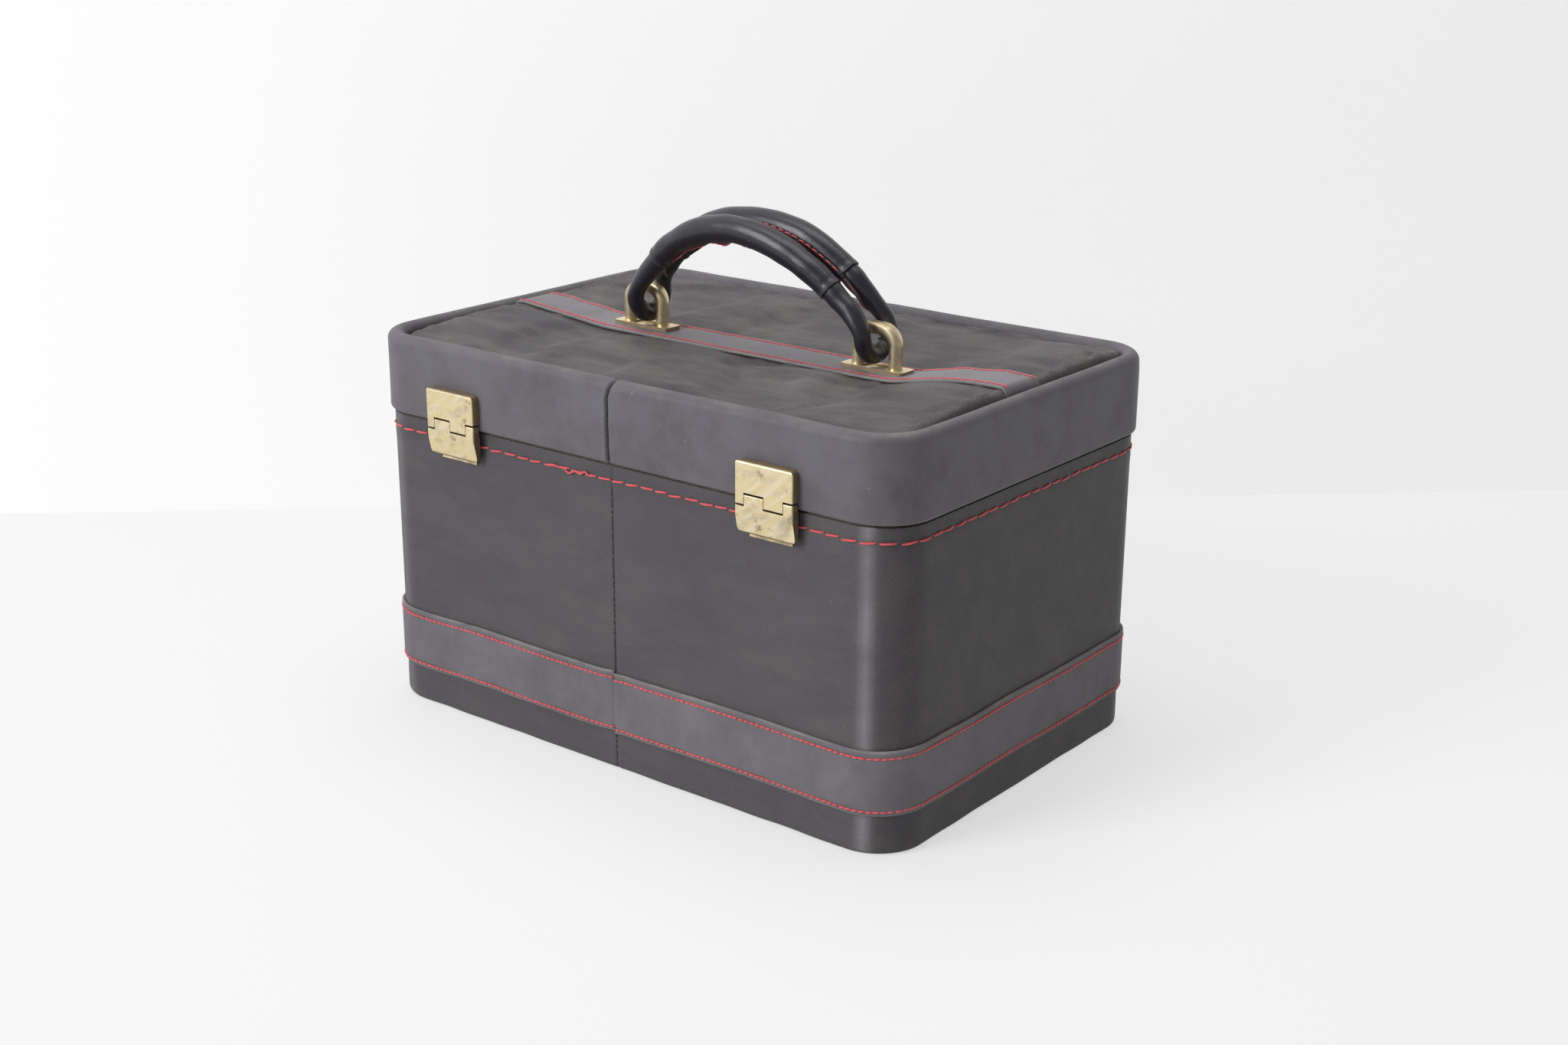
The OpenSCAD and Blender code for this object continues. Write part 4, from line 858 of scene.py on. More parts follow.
class CASE_OT_foot_band(bpy.types.Operator):
    """Leather band round the foot, in two halves with raw dusty edges"""

    bl_idname = "case.foot_band"
    bl_label = "Foot band"

    high_edge = BAND_HIGH - 0.6 * MM
    low_edge = BAND_LOW + 1.2 * MM
    rows = {"top": high_edge - 2.7 * MM, "low": low_edge + 1.3 * MM}

    def edge_rise(self, s, side):
        """The band's edges wander, and at the front seam one half steps up and the other down."""
        step = 0.55 * hump(s, 0, 6 * MM) if side < 0 else -0.5 * hump(s, 0, 4 * MM)
        return MM * (0.28 * waviness(s, 31 + side, 0.05, 0.16) + step)

    def relief(self, s, z):
        """Pressed in at the seam and along both rows, deeper and shallower with the stitches."""
        pitch = bpy.context.scene.case_sizes.band_stitch
        beat = 0.7 + 0.3 * np.cos(2 * math.pi * s / pitch)
        rows = sum(hump(z, level, 0.9 * MM) for level in self.rows.values())
        seam = 0.5 * np.exp(-s / (1.2 * MM))
        return MM * (-0.3 * rows * beat - seam + 0.14 * waviness(s, 12, 0.03, 0.12))

    def execute(self, context):
        levels = (self.low_edge, BAND_LOW + 5 * MM, BAND_HIGH - 6 * MM, self.high_edge)
        line = joined(*(straight((BAND_T, low), (BAND_T, high), step)
                        for low, high, step in zip(levels, levels[1:], (0.6 * MM, 4 * MM, 0.6 * MM))))
        section = strip_section(line, BAND_T - 0.02 * MM, 5)
        steps = ring_steps(*BODY, 1.6 * MM)
        length = ring_runs(*BODY)[-1]
        s, z = steps[:, None], section[0][:, 1]
        relief = self.relief(np.minimum(s, length - s), z)
        edge = 0.8 * section[3] + 0.35 * hump(z, self.high_edge, 0.45 * MM)
        wear = np.clip(edge, 0, 1) * (0.75 + 0.25 * waviness(s, 9, 0.01, 0.05))
        sizes = context.scene.case_sizes
        for side, name in SIDES:
            grid = wall_grid(side, BODY, steps, section, relief, self.edge_rise(s, side))
            swept(f"leather_foot_band_{name}", grid, "band_leather", "case_body", f"foot_band_{name}",
                  wear=wear)
            starts = jittered(0.4 * MM, length, sizes.band_stitch, 20 + side)
            for row, level in self.rows.items():
                def curve(at, t):
                    place, out = ring_at(side, *BODY, at)
                    place = place + out * (BAND_T - 0.25 * MM)
                    place[..., 2] += level + self.edge_rise(at, side) + 0.2 * MM * (t - 0.5)
                    return place, out
                stitch_piece(f"thread_band_{row}_{name}", "case_body", curve, starts,
                             0.88 * sizes.band_stitch, sizes.thread_r, lift=0.62)
        return {"FINISHED"}


class CASE_OT_long_stitches(bpy.types.Operator):
    """Long red stitches round the top of the body, with a tangle at the front"""

    bl_idname = "case.long_stitches"
    bl_label = "Long stitches"

    def execute(self, context):
        sizes = context.scene.case_sizes
        length = ring_runs(*BODY)[-1]
        for side, name in SIDES:
            rng = np.random.default_rng(40 + side)
            starts = jittered(0.3 * MM, length, sizes.long_stitch, 41 + side, 0.06)
            tilt = side * rng.uniform(0.1, 0.9, len(starts))[:, None] * MM
            lift = rng.uniform(-0.3, 0.3, len(starts))[:, None] * MM
            spans = sizes.long_stitch * rng.uniform(0.76, 0.86, len(starts))

            def curve(at, t):
                place, out = ring_at(side, *BODY, at)
                place[..., 2] += ROW_Z + tilt * (t - 0.5) + lift
                return place, out

            stitch_piece(f"thread_body_{name}", "case_body", curve, starts, spans, 1.1 * sizes.thread_r,
                         lift=0.6, rings=8)
        self.tangle(sizes.thread_r)
        return {"FINISHED"}

    def tangle(self, radius):
        """Slack thread that wanders over the stitches left of the seam."""
        t = np.linspace(0, 1, 60)
        x = -(14 + 26 * t) * MM
        y = -BODY_D - MM * (0.75 + 0.3 * np.sin(17 * t))
        z = ROW_Z + MM * (0.7 * np.sin(9 * t + 0.5) + 0.9 * np.sin(23 * t) * (1 - t) + 0.5 * t - 0.5)
        path = np.stack([x, y, z], -1)
        out = facing(path, -1)
        across = unit(np.cross(unit(np.gradient(path, axis=0)), out))
        angle = circle(8)
        grid = path[:, None] + radius * spread(np.cos(angle), np.sin(angle), across, out)
        along, around = np.meshgrid(40 * MM * t, radius * angle, indexing="ij")
        weave = np.stack([along, around, 0 * along], -1)
        swept("thread_tangle", grid, "red_thread", "case_body", weave=weave)


class CASE_OT_lid_band(bpy.types.Operator):
    """Leather round the lid, rolled over its edge, with the puckered seam at the front"""

    bl_idname = "case.lid_band"
    bl_label = "Lid band"

    def section(self):
        """Turned in below, round the hem, up the side, over the bead and down inside it."""
        line = joined(
            straight((-LID_LEATHER - SIDE_BOARD + 0.3 * MM, PARTING_Z), (-HEM_R, PARTING_Z), 0.8 * MM),
            arc_line((-HEM_R, PARTING_Z + HEM_R), HEM_R, -90, 0, 6),
            straight((0, PARTING_Z + HEM_R), (0, BEAD_Z), 1.9 * MM),
            arc_line((-BEAD_R, BEAD_Z), BEAD_R, 0, 180, 19),
            straight((-2 * BEAD_R, BEAD_Z), (-2 * BEAD_R, BOARD_TOP + 0.3 * MM), 1.3 * MM),
        )
        return strip_section(line, LID_LEATHER - 0.03 * MM)

    def relief(self, s, run, side):
        """Leather that is a little slack: slow waves, a fuller and thinner bead by turns, and beside the
        seam a rolled edge with puckers at the pitch of its stitches."""
        total = run.max()
        slow = 0.14 * waviness(s, 51 + side, 0.05, 0.16) * np.sin(math.pi * run / total)
        bead = 0.28 * waviness(s, 61 + side, 0.03, 0.12) * hump(run, 0.77 * total, 6 * MM)
        groove = -1.1 * hump(s, 0, 0.6 * MM)
        lip = 0.5 * hump(s, 1.6 * MM, 0.9 * MM) - 0.15 * hump(s, 4 * MM, 1.6 * MM)
        dip = -0.2 * np.exp(-s / (1.6 * MM))
        pucker = 0.12 * np.cos(2 * math.pi * run / (2.4 * MM)) * hump(s, 1.4 * MM, 1.1 * MM)
        swell = (0.8 if side > 0 else 0.2) * hump(s, 7 * MM, 5 * MM) * hump(run, 0.7 * total, 6 * MM)
        return MM * (slow + bead + groove + (lip if side < 0 else dip) + pucker + swell)

    def seam_bend(self, s, z):
        """The seam bows a little to the left, and over the bead it runs to the right and dips."""
        u = (z - PARTING_Z) / (CREST_Z - PARTING_Z)
        near = hump(s, 0, 12 * MM)
        over = ease((u - 0.78) / 0.22)
        shift = (-0.5 * np.sin(math.pi * np.clip(u, 0, 1)) + 2.2 * over) * near
        return MM * shift, -0.9 * MM * over * hump(s, 0, 1.4 * MM)

    def execute(self, context):
        section = self.section()
        steps = ring_steps(*LID, 2.2 * MM, 0.45 * MM)
        first, *_, length = ring_runs(*LID)
        gap = 0.12 * MM
        s, z, run = steps[:, None], section[0][:, 1], section[2]
        shift, dip = self.seam_bend(s, z)
        crest = hump(z, CREST_Z + 0.5 * MM, 1.4 * MM) * (0.3 + 0.1 * waviness(s, 71, 0.012, 0.07))
        # Painted sheen: rises from the hem up the band and fades at the crest, so the upper band shows lighter and
        # cooler.
        bloom = ease((z - PARTING_Z - 3 * MM) / (24 * MM)) * (0.85 + 0.15 * waviness(s, 73, 0.03, 0.1))
        bloom = np.clip(bloom * (1 - hump(z, CREST_Z, 3 * MM)), 0, 1)
        for side, name in SIDES:
            relief = self.relief(np.minimum(s, length - s), run, side)
            grid = wall_grid(side, LID, np.clip(steps, gap, length - gap), section, relief)
            grid[..., 0] += shift
            grid[..., 2] += dip
            corner = hump(s, first + 22 * MM, 22 * MM) * (side > 0)
            wear = np.clip(crest * (1 + 0.8 * corner) + 0.12 * hump(z, PARTING_Z, 1.2 * MM), 0, 1)
            swept(f"leather_lid_band_{name}", grid, "lid_leather", "lid", f"lid_band_{name}",
                  wear=wear, bloom=bloom)
        for sy, name in ENDS:
            self.seam_thread(sy, name)
        return {"FINISHED"}

    def seam_thread(self, sy, name):
        """Black stitches that cross the seam of the lid band."""

        def curve(z, t):
            x = self.seam_bend(0 * z, z)[0] + 1.3 * MM * (t - 0.5)
            place = np.stack([x, sy * (LID_D - 0.5 * MM) + 0 * z, z + 0.8 * MM * (t - 0.5)], -1)
            return place, facing(place, sy)

        starts = jittered(PARTING_Z + 1.5 * MM, CREST_Z - 3 * MM, 2.2 * MM, 15)
        stitch_piece(f"lid_seam_thread_{name}", "lid", curve, starts, 0.4 * MM, 0.32 * MM, "dark_thread", 0.9)


def inset_of(x, y, w, d, r):
    """How far a point lies inside a rounded outline."""
    qx, qy = np.abs(x) - w + r, np.abs(y) - d + r
    corner = np.sqrt(np.maximum(qx, 0) ** 2 + np.maximum(qy, 0) ** 2)
    return r - np.where((qx > 0) & (qy > 0), corner, np.maximum(qx, qy))


def rolled(inset, width):
    """Quarter circle from 0 at the edge to 1 at the width."""
    t = np.clip(inset / width, 0, 1)
    return np.sqrt(1 - (1 - t) ** 2)


def pad_height(x, y):
    """Top of the padded cloth: flat under the strap, swollen beside it, fuller at the rear, puffed towards
    both ends and rolled down to the bead."""
    inset = inset_of(x, y, *PAD)
    beside = ease((np.abs(y) - STRAP_W / 2) / (16 * MM))
    start, peak = STAPLE_X + 19 * MM, PAD_W - 8 * MM
    rise, soft = np.abs(x) - start, 5 * MM
    t = np.clip(0.5 * (rise + np.sqrt(rise ** 2 + soft ** 2)) / (peak - start), 0, 1)
    puff = np.where(x > 0, 7.5 * (1 - (1 - t) ** 2), 5 * t) * MM
    across = 1 - np.clip(np.abs(y) / PAD_D, 0, 1) ** 3
    behind = ease((y - 30 * MM) / (50 * MM))
    height = 1.3 * MM + 0.9 * MM * beside + puff * across + 2.6 * MM * behind
    edge = 9 * MM - 5 * MM * np.maximum(ease((np.abs(x) - 125 * MM) / (20 * MM)), behind)
    return BOARD_TOP + 1.6 * MM + (height - 1.6 * MM) * rolled(inset, edge)


def padded_grid(outline, base, top, cols, rows):
    """Upper and lower side of a cushion: columns across the outline, with rows over the top and back."""
    w, d, r = outline
    x = w * np.sin(np.linspace(-1, 1, cols) * math.pi / 2)
    edge = d - r + np.sqrt(np.clip(r ** 2 - np.clip(np.abs(x) - w + r, 0, None) ** 2, 0, None))
    across = np.sin(np.linspace(-1, 1, rows) * math.pi / 2)
    gx, gy = x[:, None] + 0 * across, edge[:, None] * across
    upper = np.stack([gx, gy, top(gx, gy)], -1)
    lower = np.stack([gx, gy, base + 0 * gx], -1)[:, ::-1]
    return upper, lower


class CASE_OT_lid_pad(bpy.types.Operator):
    """Padded cloth top of the lid"""

    bl_idname = "case.lid_pad"
    bl_label = "Lid pad"

    settle_frames = 18
    cap = 1.1 * MM

    def creased(self, x, y):
        """The pad's height, with slow waves and with puckers that run in from the bead for 16 mm."""
        inset = inset_of(x, y, *PAD)
        angle = np.arctan2(y / PAD_D, x / PAD_W)
        fade_in = ease(inset / (3 * MM)) * (1 - ease(inset / (16 * MM)))
        ripple = 0.16 * waviness(angle, 77, 0.03, 0.12) * fade_in
        slow = 0.22 * waviness(x + 0.6 * y, 78, 0.04, 0.11) * ease((np.abs(y) - STRAP_W / 2) / (12 * MM))
        return pad_height(x, y) + MM * (ripple + slow) * rolled(inset, 9 * MM)

    def simulate(self, upper):
        """Lets the cloth settle: a sheet pinned at the bead and under the strap, a little too large for
        its place and lightly blown up. No point moves more than the cap."""
        rows, cols = upper.shape[:2]
        quads = grid_quads(rows, cols, False)
        quads = quads[(quads[:, 0] % cols) < cols - 1]
        sheet = add_piece("settling", upper, quads.tolist(), "top_cloth")
        inset = inset_of(upper[..., 0], upper[..., 1], *PAD).ravel()
        held = (inset < 2 * MM) | (np.abs(upper[..., 1]).ravel() < STRAP_W / 2 + 1 * MM)
        pins = sheet.vertex_groups.new(name="held")
        pins.add(np.flatnonzero(held).tolist(), 1.0, "REPLACE")
        cloth = sheet.modifiers.new("Cloth", "CLOTH")
        cloth.settings.vertex_group_mass = "held"
        cloth.settings.quality = 6
        cloth.settings.mass = 0.3
        cloth.settings.tension_stiffness = 18
        cloth.settings.compression_stiffness = 18
        cloth.settings.bending_stiffness = 0.8
        cloth.settings.shrink_min = -0.018
        cloth.settings.use_pressure = True
        cloth.settings.uniform_pressure_force = 0.35
        cloth.settings.effector_weights.gravity = 0
        cloth.collision_settings.use_collision = False
        cloth.collision_settings.use_self_collision = False
        scene = bpy.context.scene
        for step in range(self.settle_frames):
            scene.frame_set(1 + step)
        shaped = sheet.evaluated_get(bpy.context.evaluated_depsgraph_get()).data
        settled = np.empty(len(shaped.vertices) * 3, np.float32)
        shaped.vertices.foreach_get("co", settled)
        scene.frame_set(1)
        bpy.data.objects.remove(sheet)
        moved = settled.reshape(upper.shape) - upper
        far = np.linalg.norm(moved, axis=-1, keepdims=True)
        return upper + moved * np.minimum(1.0, self.cap / np.maximum(far, 1e-9))

    def execute(self, context):
        upper, lower = padded_grid(PAD, BOARD_TOP, self.creased, 119, 83)
        upper = self.simulate(upper)
        grid = np.concatenate([upper, lower], 1)
        weave = grid[..., [1, 0, 2]].copy()
        weave[..., 2] = 0
        inset = inset_of(grid[..., 0], grid[..., 1], *PAD)
        wear = 0.5 * hump(inset, 2 * MM, 4 * MM) * (0.5 + 0.5 * waviness(grid[..., 0], 6, 0.01, 0.06))
        wear += 0.55 * hump(np.abs(grid[..., 1]), STRAP_W / 2 + 1.2 * MM, 1.6 * MM)
        piece = swept("padded_lid_top", grid, "top_cloth", "lid", "lid_pad",
                      weave=weave, wear=np.clip(wear, 0, 1))
        return {"FINISHED"}


class CASE_OT_lid_strap(bpy.types.Operator):
    """Leather strap along the lid with its two rows of red stitches"""

    bl_idname = "case.lid_strap"
    bl_label = "Lid strap"

    row_y = STRAP_W / 2 - 2.3 * MM

    def top(self, x, y):
        """Upper face: the pad's height and the strap's thickness, drawn down at the rows of stitches."""
        pitch = bpy.context.scene.case_sizes.band_stitch
        beat = 0.75 + 0.25 * np.cos(2 * math.pi * x / pitch)
        rows = hump(np.abs(y), self.row_y, 0.9 * MM) * beat
        loose = ease((np.abs(x) - 96 * MM) / (20 * MM))
        ripple = 0.3 * loose * np.cos(2 * math.pi * x / (23 * MM)) * (y / STRAP_W + 0.4)
        return pad_height(x, y) + STRAP_LIFT + STRAP_T + MM * (ripple - 0.3 * rows)

    def width(self, x):
        """Half width, which wanders a little."""
        return STRAP_W / 2 + 0.2 * MM * waviness(x, 23, 0.03, 0.1) - 0.1 * MM

    def execute(self, context):
        sizes = context.scene.case_sizes
        x = np.arange(-PAD_W + 0.4 * MM, PAD_W - 0.3 * MM, 1.05 * MM)[:, None]
        across = self.width(x) * np.linspace(-1, 1, 34)
        upper = np.stack([x + 0 * across, across, self.top(x, across)], -1)
        lower = upper[:, ::-1].copy()
        lower[..., 2] = pad_height(lower[..., 0], lower[..., 1]) + STRAP_LIFT
        edges = []
        for sign, level in ((1, 0.35), (1, -0.35), (-1, -0.35), (-1, 0.35)):
            y = sign * (self.width(x) + 0.25 * MM)
            edges.append(np.stack([x, y, self.top(x, y) - STRAP_T / 2 + level * STRAP_T], -1))
        grid = np.concatenate([upper, *edges[:2], lower, *edges[2:]], 1)
        n = upper.shape[1]
        wear = np.zeros(grid.shape[:2])
        wear[:, [n, n + 1, -1, -2]] = 0.75
        wear[:, [0, n - 1]] = 0.4
        swept("leather_strap", grid, "strap_leather_painted_reflection", "lid", "lid_strap", wear=wear)
        for sy, name in ENDS:
            def curve(at, t):
                y = sy * self.row_y + 0.25 * MM * (t - 0.5)
                step = 0.5 * MM
                slope = (self.top(at + step, y) - self.top(at - step, y)) / (2 * step)
                place = np.stack([at, y, self.top(at, y) + 0.05 * MM], -1)
                return place, unit(np.stack([-slope, 0 * slope, 1 + 0 * slope], -1))
            starts = jittered(-PAD_W + MM, PAD_W - MM, sizes.band_stitch * 0.95, 60 + sy)
            stitch_piece(f"thread_strap_{name}", "lid", curve, starts, 0.8 * sizes.band_stitch,
                         0.82 * sizes.thread_r, lift=0.55)
        return {"FINISHED"}


def bezier(a, b, c, d, t):
    """Point on a cubic curve: the four points weighted by the Bernstein polynomials of t."""
    t = t[:, None]
    return (1 - t) ** 3 * a + 3 * (1 - t) ** 2 * t * b + 3 * (1 - t) * t * t * c + t ** 3 * d


def handle_quarter(sx, sy):
    """Centre line from the crown to the bottom of one loop: an arc of the grip, a curve down the leg,
    and a quarter turn under the rod. Upright, measured from the staple rods."""
    a = np.linspace(0, GRIP_ANGLE, 26, endpoint=False)
    arc = np.stack([GRIP_R * np.sin(a), TUBE_OFF + 0 * a, GRIP_C + GRIP_R * np.cos(a)], -1)
    cuff = np.array([CUFF_X, TUBE_OFF, CUFF_H])
    out = cuff + LEG_BOW * np.array([math.cos(GRIP_ANGLE), 0, -math.sin(GRIP_ANGLE)])
    into = np.array([LOOP_X, LOOP_R, LOOP_C + LEG_STRAIGHT])
    start = np.array([LOOP_X, LOOP_R, LOOP_C])
    leg = bezier(cuff, out, into, start, np.linspace(0, 1, 30, endpoint=False))
    b = np.linspace(0, math.pi / 2, 26)
    turn = np.stack([LOOP_X + 0 * b, LOOP_R * np.cos(b), LOOP_C - LOOP_R * np.sin(b)], -1)
    return np.concatenate([arc, leg, turn]) * np.array([sx, sy, 1])


def outward(path):
    """How far each point is down its leg, from 0 at the cuff to 1 at the turn, and the way out of the ring:
    to the front or rear in the grip, and to the left or right in the loops."""
    k = ease((CUFF_H - path[:, 2]) / (CUFF_H - LOOP_C))[:, None]
    return k, np.concatenate([np.sign(path[:, :1]) * k, np.sign(path[:, 1:2] + 1e-9) * (1 - k), 0 * k], 1)


def handle_sway(points):
    """The used handle's own bend: its crown leans to the left, and towards the right cuff the rear tube
    stands higher than the front one."""
    sizes = bpy.context.scene.case_sizes
    x, y, z = points[..., 0], points[..., 1], points[..., 2]
    up = np.clip(z / CROWN_H, 0, 1)
    twist = ease((x + 10 * MM) / (55 * MM)) * (1 - ease((x - 56 * MM) / (12 * MM)))
    side = np.clip(y / TUBE_OFF, -1, 1)
    return np.stack([x - sizes.sway * up, y, z + 0.5 * sizes.twist * twist * side], -1)


def leaned(points):
    """Turns upright points about the staple rods to where the handle rests, leaning to the front."""
    x, y, z = points[..., 0], points[..., 1], points[..., 2]
    c, k = math.cos(LEAN), math.sin(LEAN)
    return np.stack([x, y * c - z * k, ROD_Z + y * k + z * c], -1)


def tube_frame(path, ref, ring):
    """Two directions across the path: one as near the reference as can be, and the one square to it."""
    if ring:
        along = unit(np.roll(path, -1, 0) - np.roll(path, 1, 0))
    else:
        along = unit(np.gradient(path, axis=0))
    up = unit(np.cross(along, ref))
    return unit(np.cross(up, along)), up


class CASE_OT_handle(bpy.types.Operator):
    """Endless rolled leather loop, the wrap sewn round its grip, and their stitches"""

    bl_idname = "case.handle"
    bl_label = "Handle"

    def loop(self):
        """One tube round the whole ring. It is round in the grip and oval in the loops, with creases on
        the inside of each turn."""
        path = np.concatenate([handle_quarter(1, 1)[:-1], handle_quarter(1, -1)[::-1][:-1],
                               handle_quarter(-1, -1)[:-1], handle_quarter(-1, 1)[::-1][:-1]])
        k, ref = outward(path)
        path = handle_sway(path)
        out, up = tube_frame(path, ref, True)
        angle = circle(36)
        half_out = (TUBE_R + (LOOP_THICK - TUBE_R) * k)
        half_up = (TUBE_R + (LOOP_WIDE - TUBE_R) * k)
        run = np.cumsum(np.linalg.norm(np.roll(path, -1, 0) - path, axis=1))[:, None]
        inside = hump(np.sin(angle), 1.0, 0.55)
        turn = ease((6 * MM - path[:, 2:3]) / (8 * MM))
        crease = 0.32 * (waviness(run, 91, 0.0022, 0.0042, 5) - 1) * inside * turn
        slack = 0.18 * (1 - k) * waviness(run + 0.002 * np.cos(angle), 92, 0.012, 0.04) - 0.3 * k
        girth = 1 + (crease + slack)[..., None] * MM / TUBE_R
        grid = path[:, None] + girth * spread(half_out * np.cos(angle), half_up * np.sin(angle), out, up)
        wear = np.clip(inside * turn * (0.55 + 0.4 * waviness(run, 93, 0.004, 0.02)), 0, 1)
        swept("rolled_loop", leaned(grid), "handle_leather", "handle", "handle_loop", ring=True, wear=wear)

    def grip(self, sy, count=120):
        """Centre line of a grip tube from cuff to cuff, or of the groove between the tubes for 0, with its
        outward and upward directions."""
        a = np.linspace(-GRIP_ANGLE, GRIP_ANGLE, count)
        path = np.stack([GRIP_R * np.sin(a), sy * TUBE_OFF + 0 * a, GRIP_C + GRIP_R * np.cos(a)], -1)
        path = handle_sway(path)
        return path, *tube_frame(path, np.array([0, sy or 1.0, 0]), False)

    def sleeve(self, sy, name, *nodes):
        """Leather sleeve: an outer face that swells in the middle and thins to the cuffs, turned over at
        both ends and back along the tube as its inner face."""
        path, out, up = self.grip(sy)
        run = distance_along(path)[:, None]
        ends = np.minimum(run, run.max() - run)
        angle = circle(40)
        lip = 0.16 * hump(ends, 1.0 * MM, 1.0 * MM) - 0.12 * hump(ends, 3.4 * MM, 1.1 * MM)
        slack = 0.14 * waviness(run + 0.004 * np.cos(angle), 95 + sy, 0.012, 0.045)
        outer = (6.25 + 0.6 * ease(ends / (34 * MM)) + lip + slack) * MM
        radii = np.concatenate([outer, (TUBE_R + 0.06 * MM) + 0 * outer])
        path, out, up, ends = (np.concatenate([rows, rows[::-1]]) for rows in (path, out, up, ends))
        grid = path[:, None] + radii[..., None] * spread(np.cos(angle), np.sin(angle), out, up)
        wear = 0.35 * hump(ends, 0.6 * MM, 0.8 * MM) + 0 * angle
        swept(f"grip_sleeve_{name}", leaned(grid), "handle_leather", "handle", *nodes, ring=True,
              smooth_angle=80, wear=wear)

    def web(self):
        """Sewn web in the groove between the sleeves, higher in its middle."""
        path, out, up = self.grip(0)
        shape = np.array([[-1.9, 3.4], [-0.8, 2.7], [0.8, 2.7], [1.9, 3.4], [1.3, 0.4], [1.3, -2.4],
                          [-1.3, -2.4], [-1.3, 0.4]]) * MM
        grid = path[:, None] + spread(shape[:, 0], shape[:, 1], out, up)
        swept("grip_web", leaned(grid), "handle_leather", "handle")
        self.sew("thread_grip_top", path + 2.75 * MM * up, up, 2, 4.3, 97, 3.2, 0.38, 0.8)

    def flange(self, sy, name):
        """Raw edge sewn along the underside of a grip tube, with one pucker left of the middle."""
        path, out, up = self.grip(sy, 150)
        up = sy * up
        x = path[:, 0]
        pucker = 1.1 * hump(x, -12 * MM, 4 * MM) - 0.6 * hump(x, -4 * MM, 3 * MM)
        deep = (7.45 + 0.3 * waviness(x, 96, 0.007, 0.022) + pucker * (sy < 0)) * MM
        deep = deep - 1.2 * MM * ease((np.abs(x + 2 * MM) - 40 * MM) / (14 * MM))
        shape = np.array([[-0.65, 3.2], [0.65, 3.2], [0.6, 0.25], [0.0, 0], [-0.6, 0.25]]) * MM
        grid = path[:, None] + spread(shape[:, 0], shape[:, 1] - deep[:, None], out, up)
        wear = np.full(grid.shape[:2], 0.15)
        swept(f"grip_flange_{name}", leaned(grid), "handle_leather", "handle", wear=wear)
        low = path - (deep - 0.55 * MM)[:, None] * up + 0.55 * MM * out
        self.sew(f"thread_grip_{name}", low, out, 5, 3.4, 98, 2.9, 0.36, 0.8)

    def sew(self, name, path, up, margin, pitch, seed, length, radius, lift=0.35):
        """Red stitches along a path, on the side that its up directions point to. Margin, pitch, length
        and radius are in millimetres."""
        ups = leaned(path + up) - leaned(path)
        path = leaned(path)
        run = distance_along(path)

        def curve(at, t):
            place, tilt = (np.stack([np.interp(at, run, rows[:, i]) for i in range(3)], -1)
                           for rows in (path, ups))
            return place, unit(tilt)

        starts = jittered(margin * MM, run[-1] - margin * MM, pitch * MM, seed)
        stitch_piece(name, "handle", curve, starts, length * MM, radius * MM, lift=lift)

    def leg_seam(self, sx, sy, name):
        """Raw seam with red stitches down the inner side of a leg."""
        path = handle_quarter(sx, sy)[24:45]
        k, ref = outward(path)
        path = handle_sway(path)
        out, up = tube_frame(path, ref, False)
        reach = (TUBE_R + (LOOP_THICK - TUBE_R) * k)
        fade = ease(np.linspace(0, 1, len(path)) * 6) * ease(np.linspace(1, 0, len(path)) * 5)
        shape = np.array([[0.75, -0.4], [0.75, 0.9], [0.0, 1.2], [-0.75, 0.9], [-0.75, -0.4]]) * MM
        height = shape[:, 1] * fade[:, None] + reach - 0.25 * MM
        grid = path[:, None] + spread(shape[:, 0], -height, up, out)
        swept(f"leg_seam_{name}", leaned(grid), "raw_leather", "handle")
        self.sew(f"thread_leg_{name}", path - (reach + 0.7 * MM) * out, -out, 3, 3.0, 99, 2.4, 0.33)

    def execute(self, context):
        self.loop()
        self.sleeve(-1, "front", "handle_wrap")
        self.sleeve(1, "rear")
        self.web()
        for sy, name in ENDS:
            self.flange(sy, name)
        for sx, side in reversed(SIDES):
            for sy, end in reversed(ENDS):
                self.leg_seam(sx, sy, f"{side}_{end}")
        return {"FINISHED"}


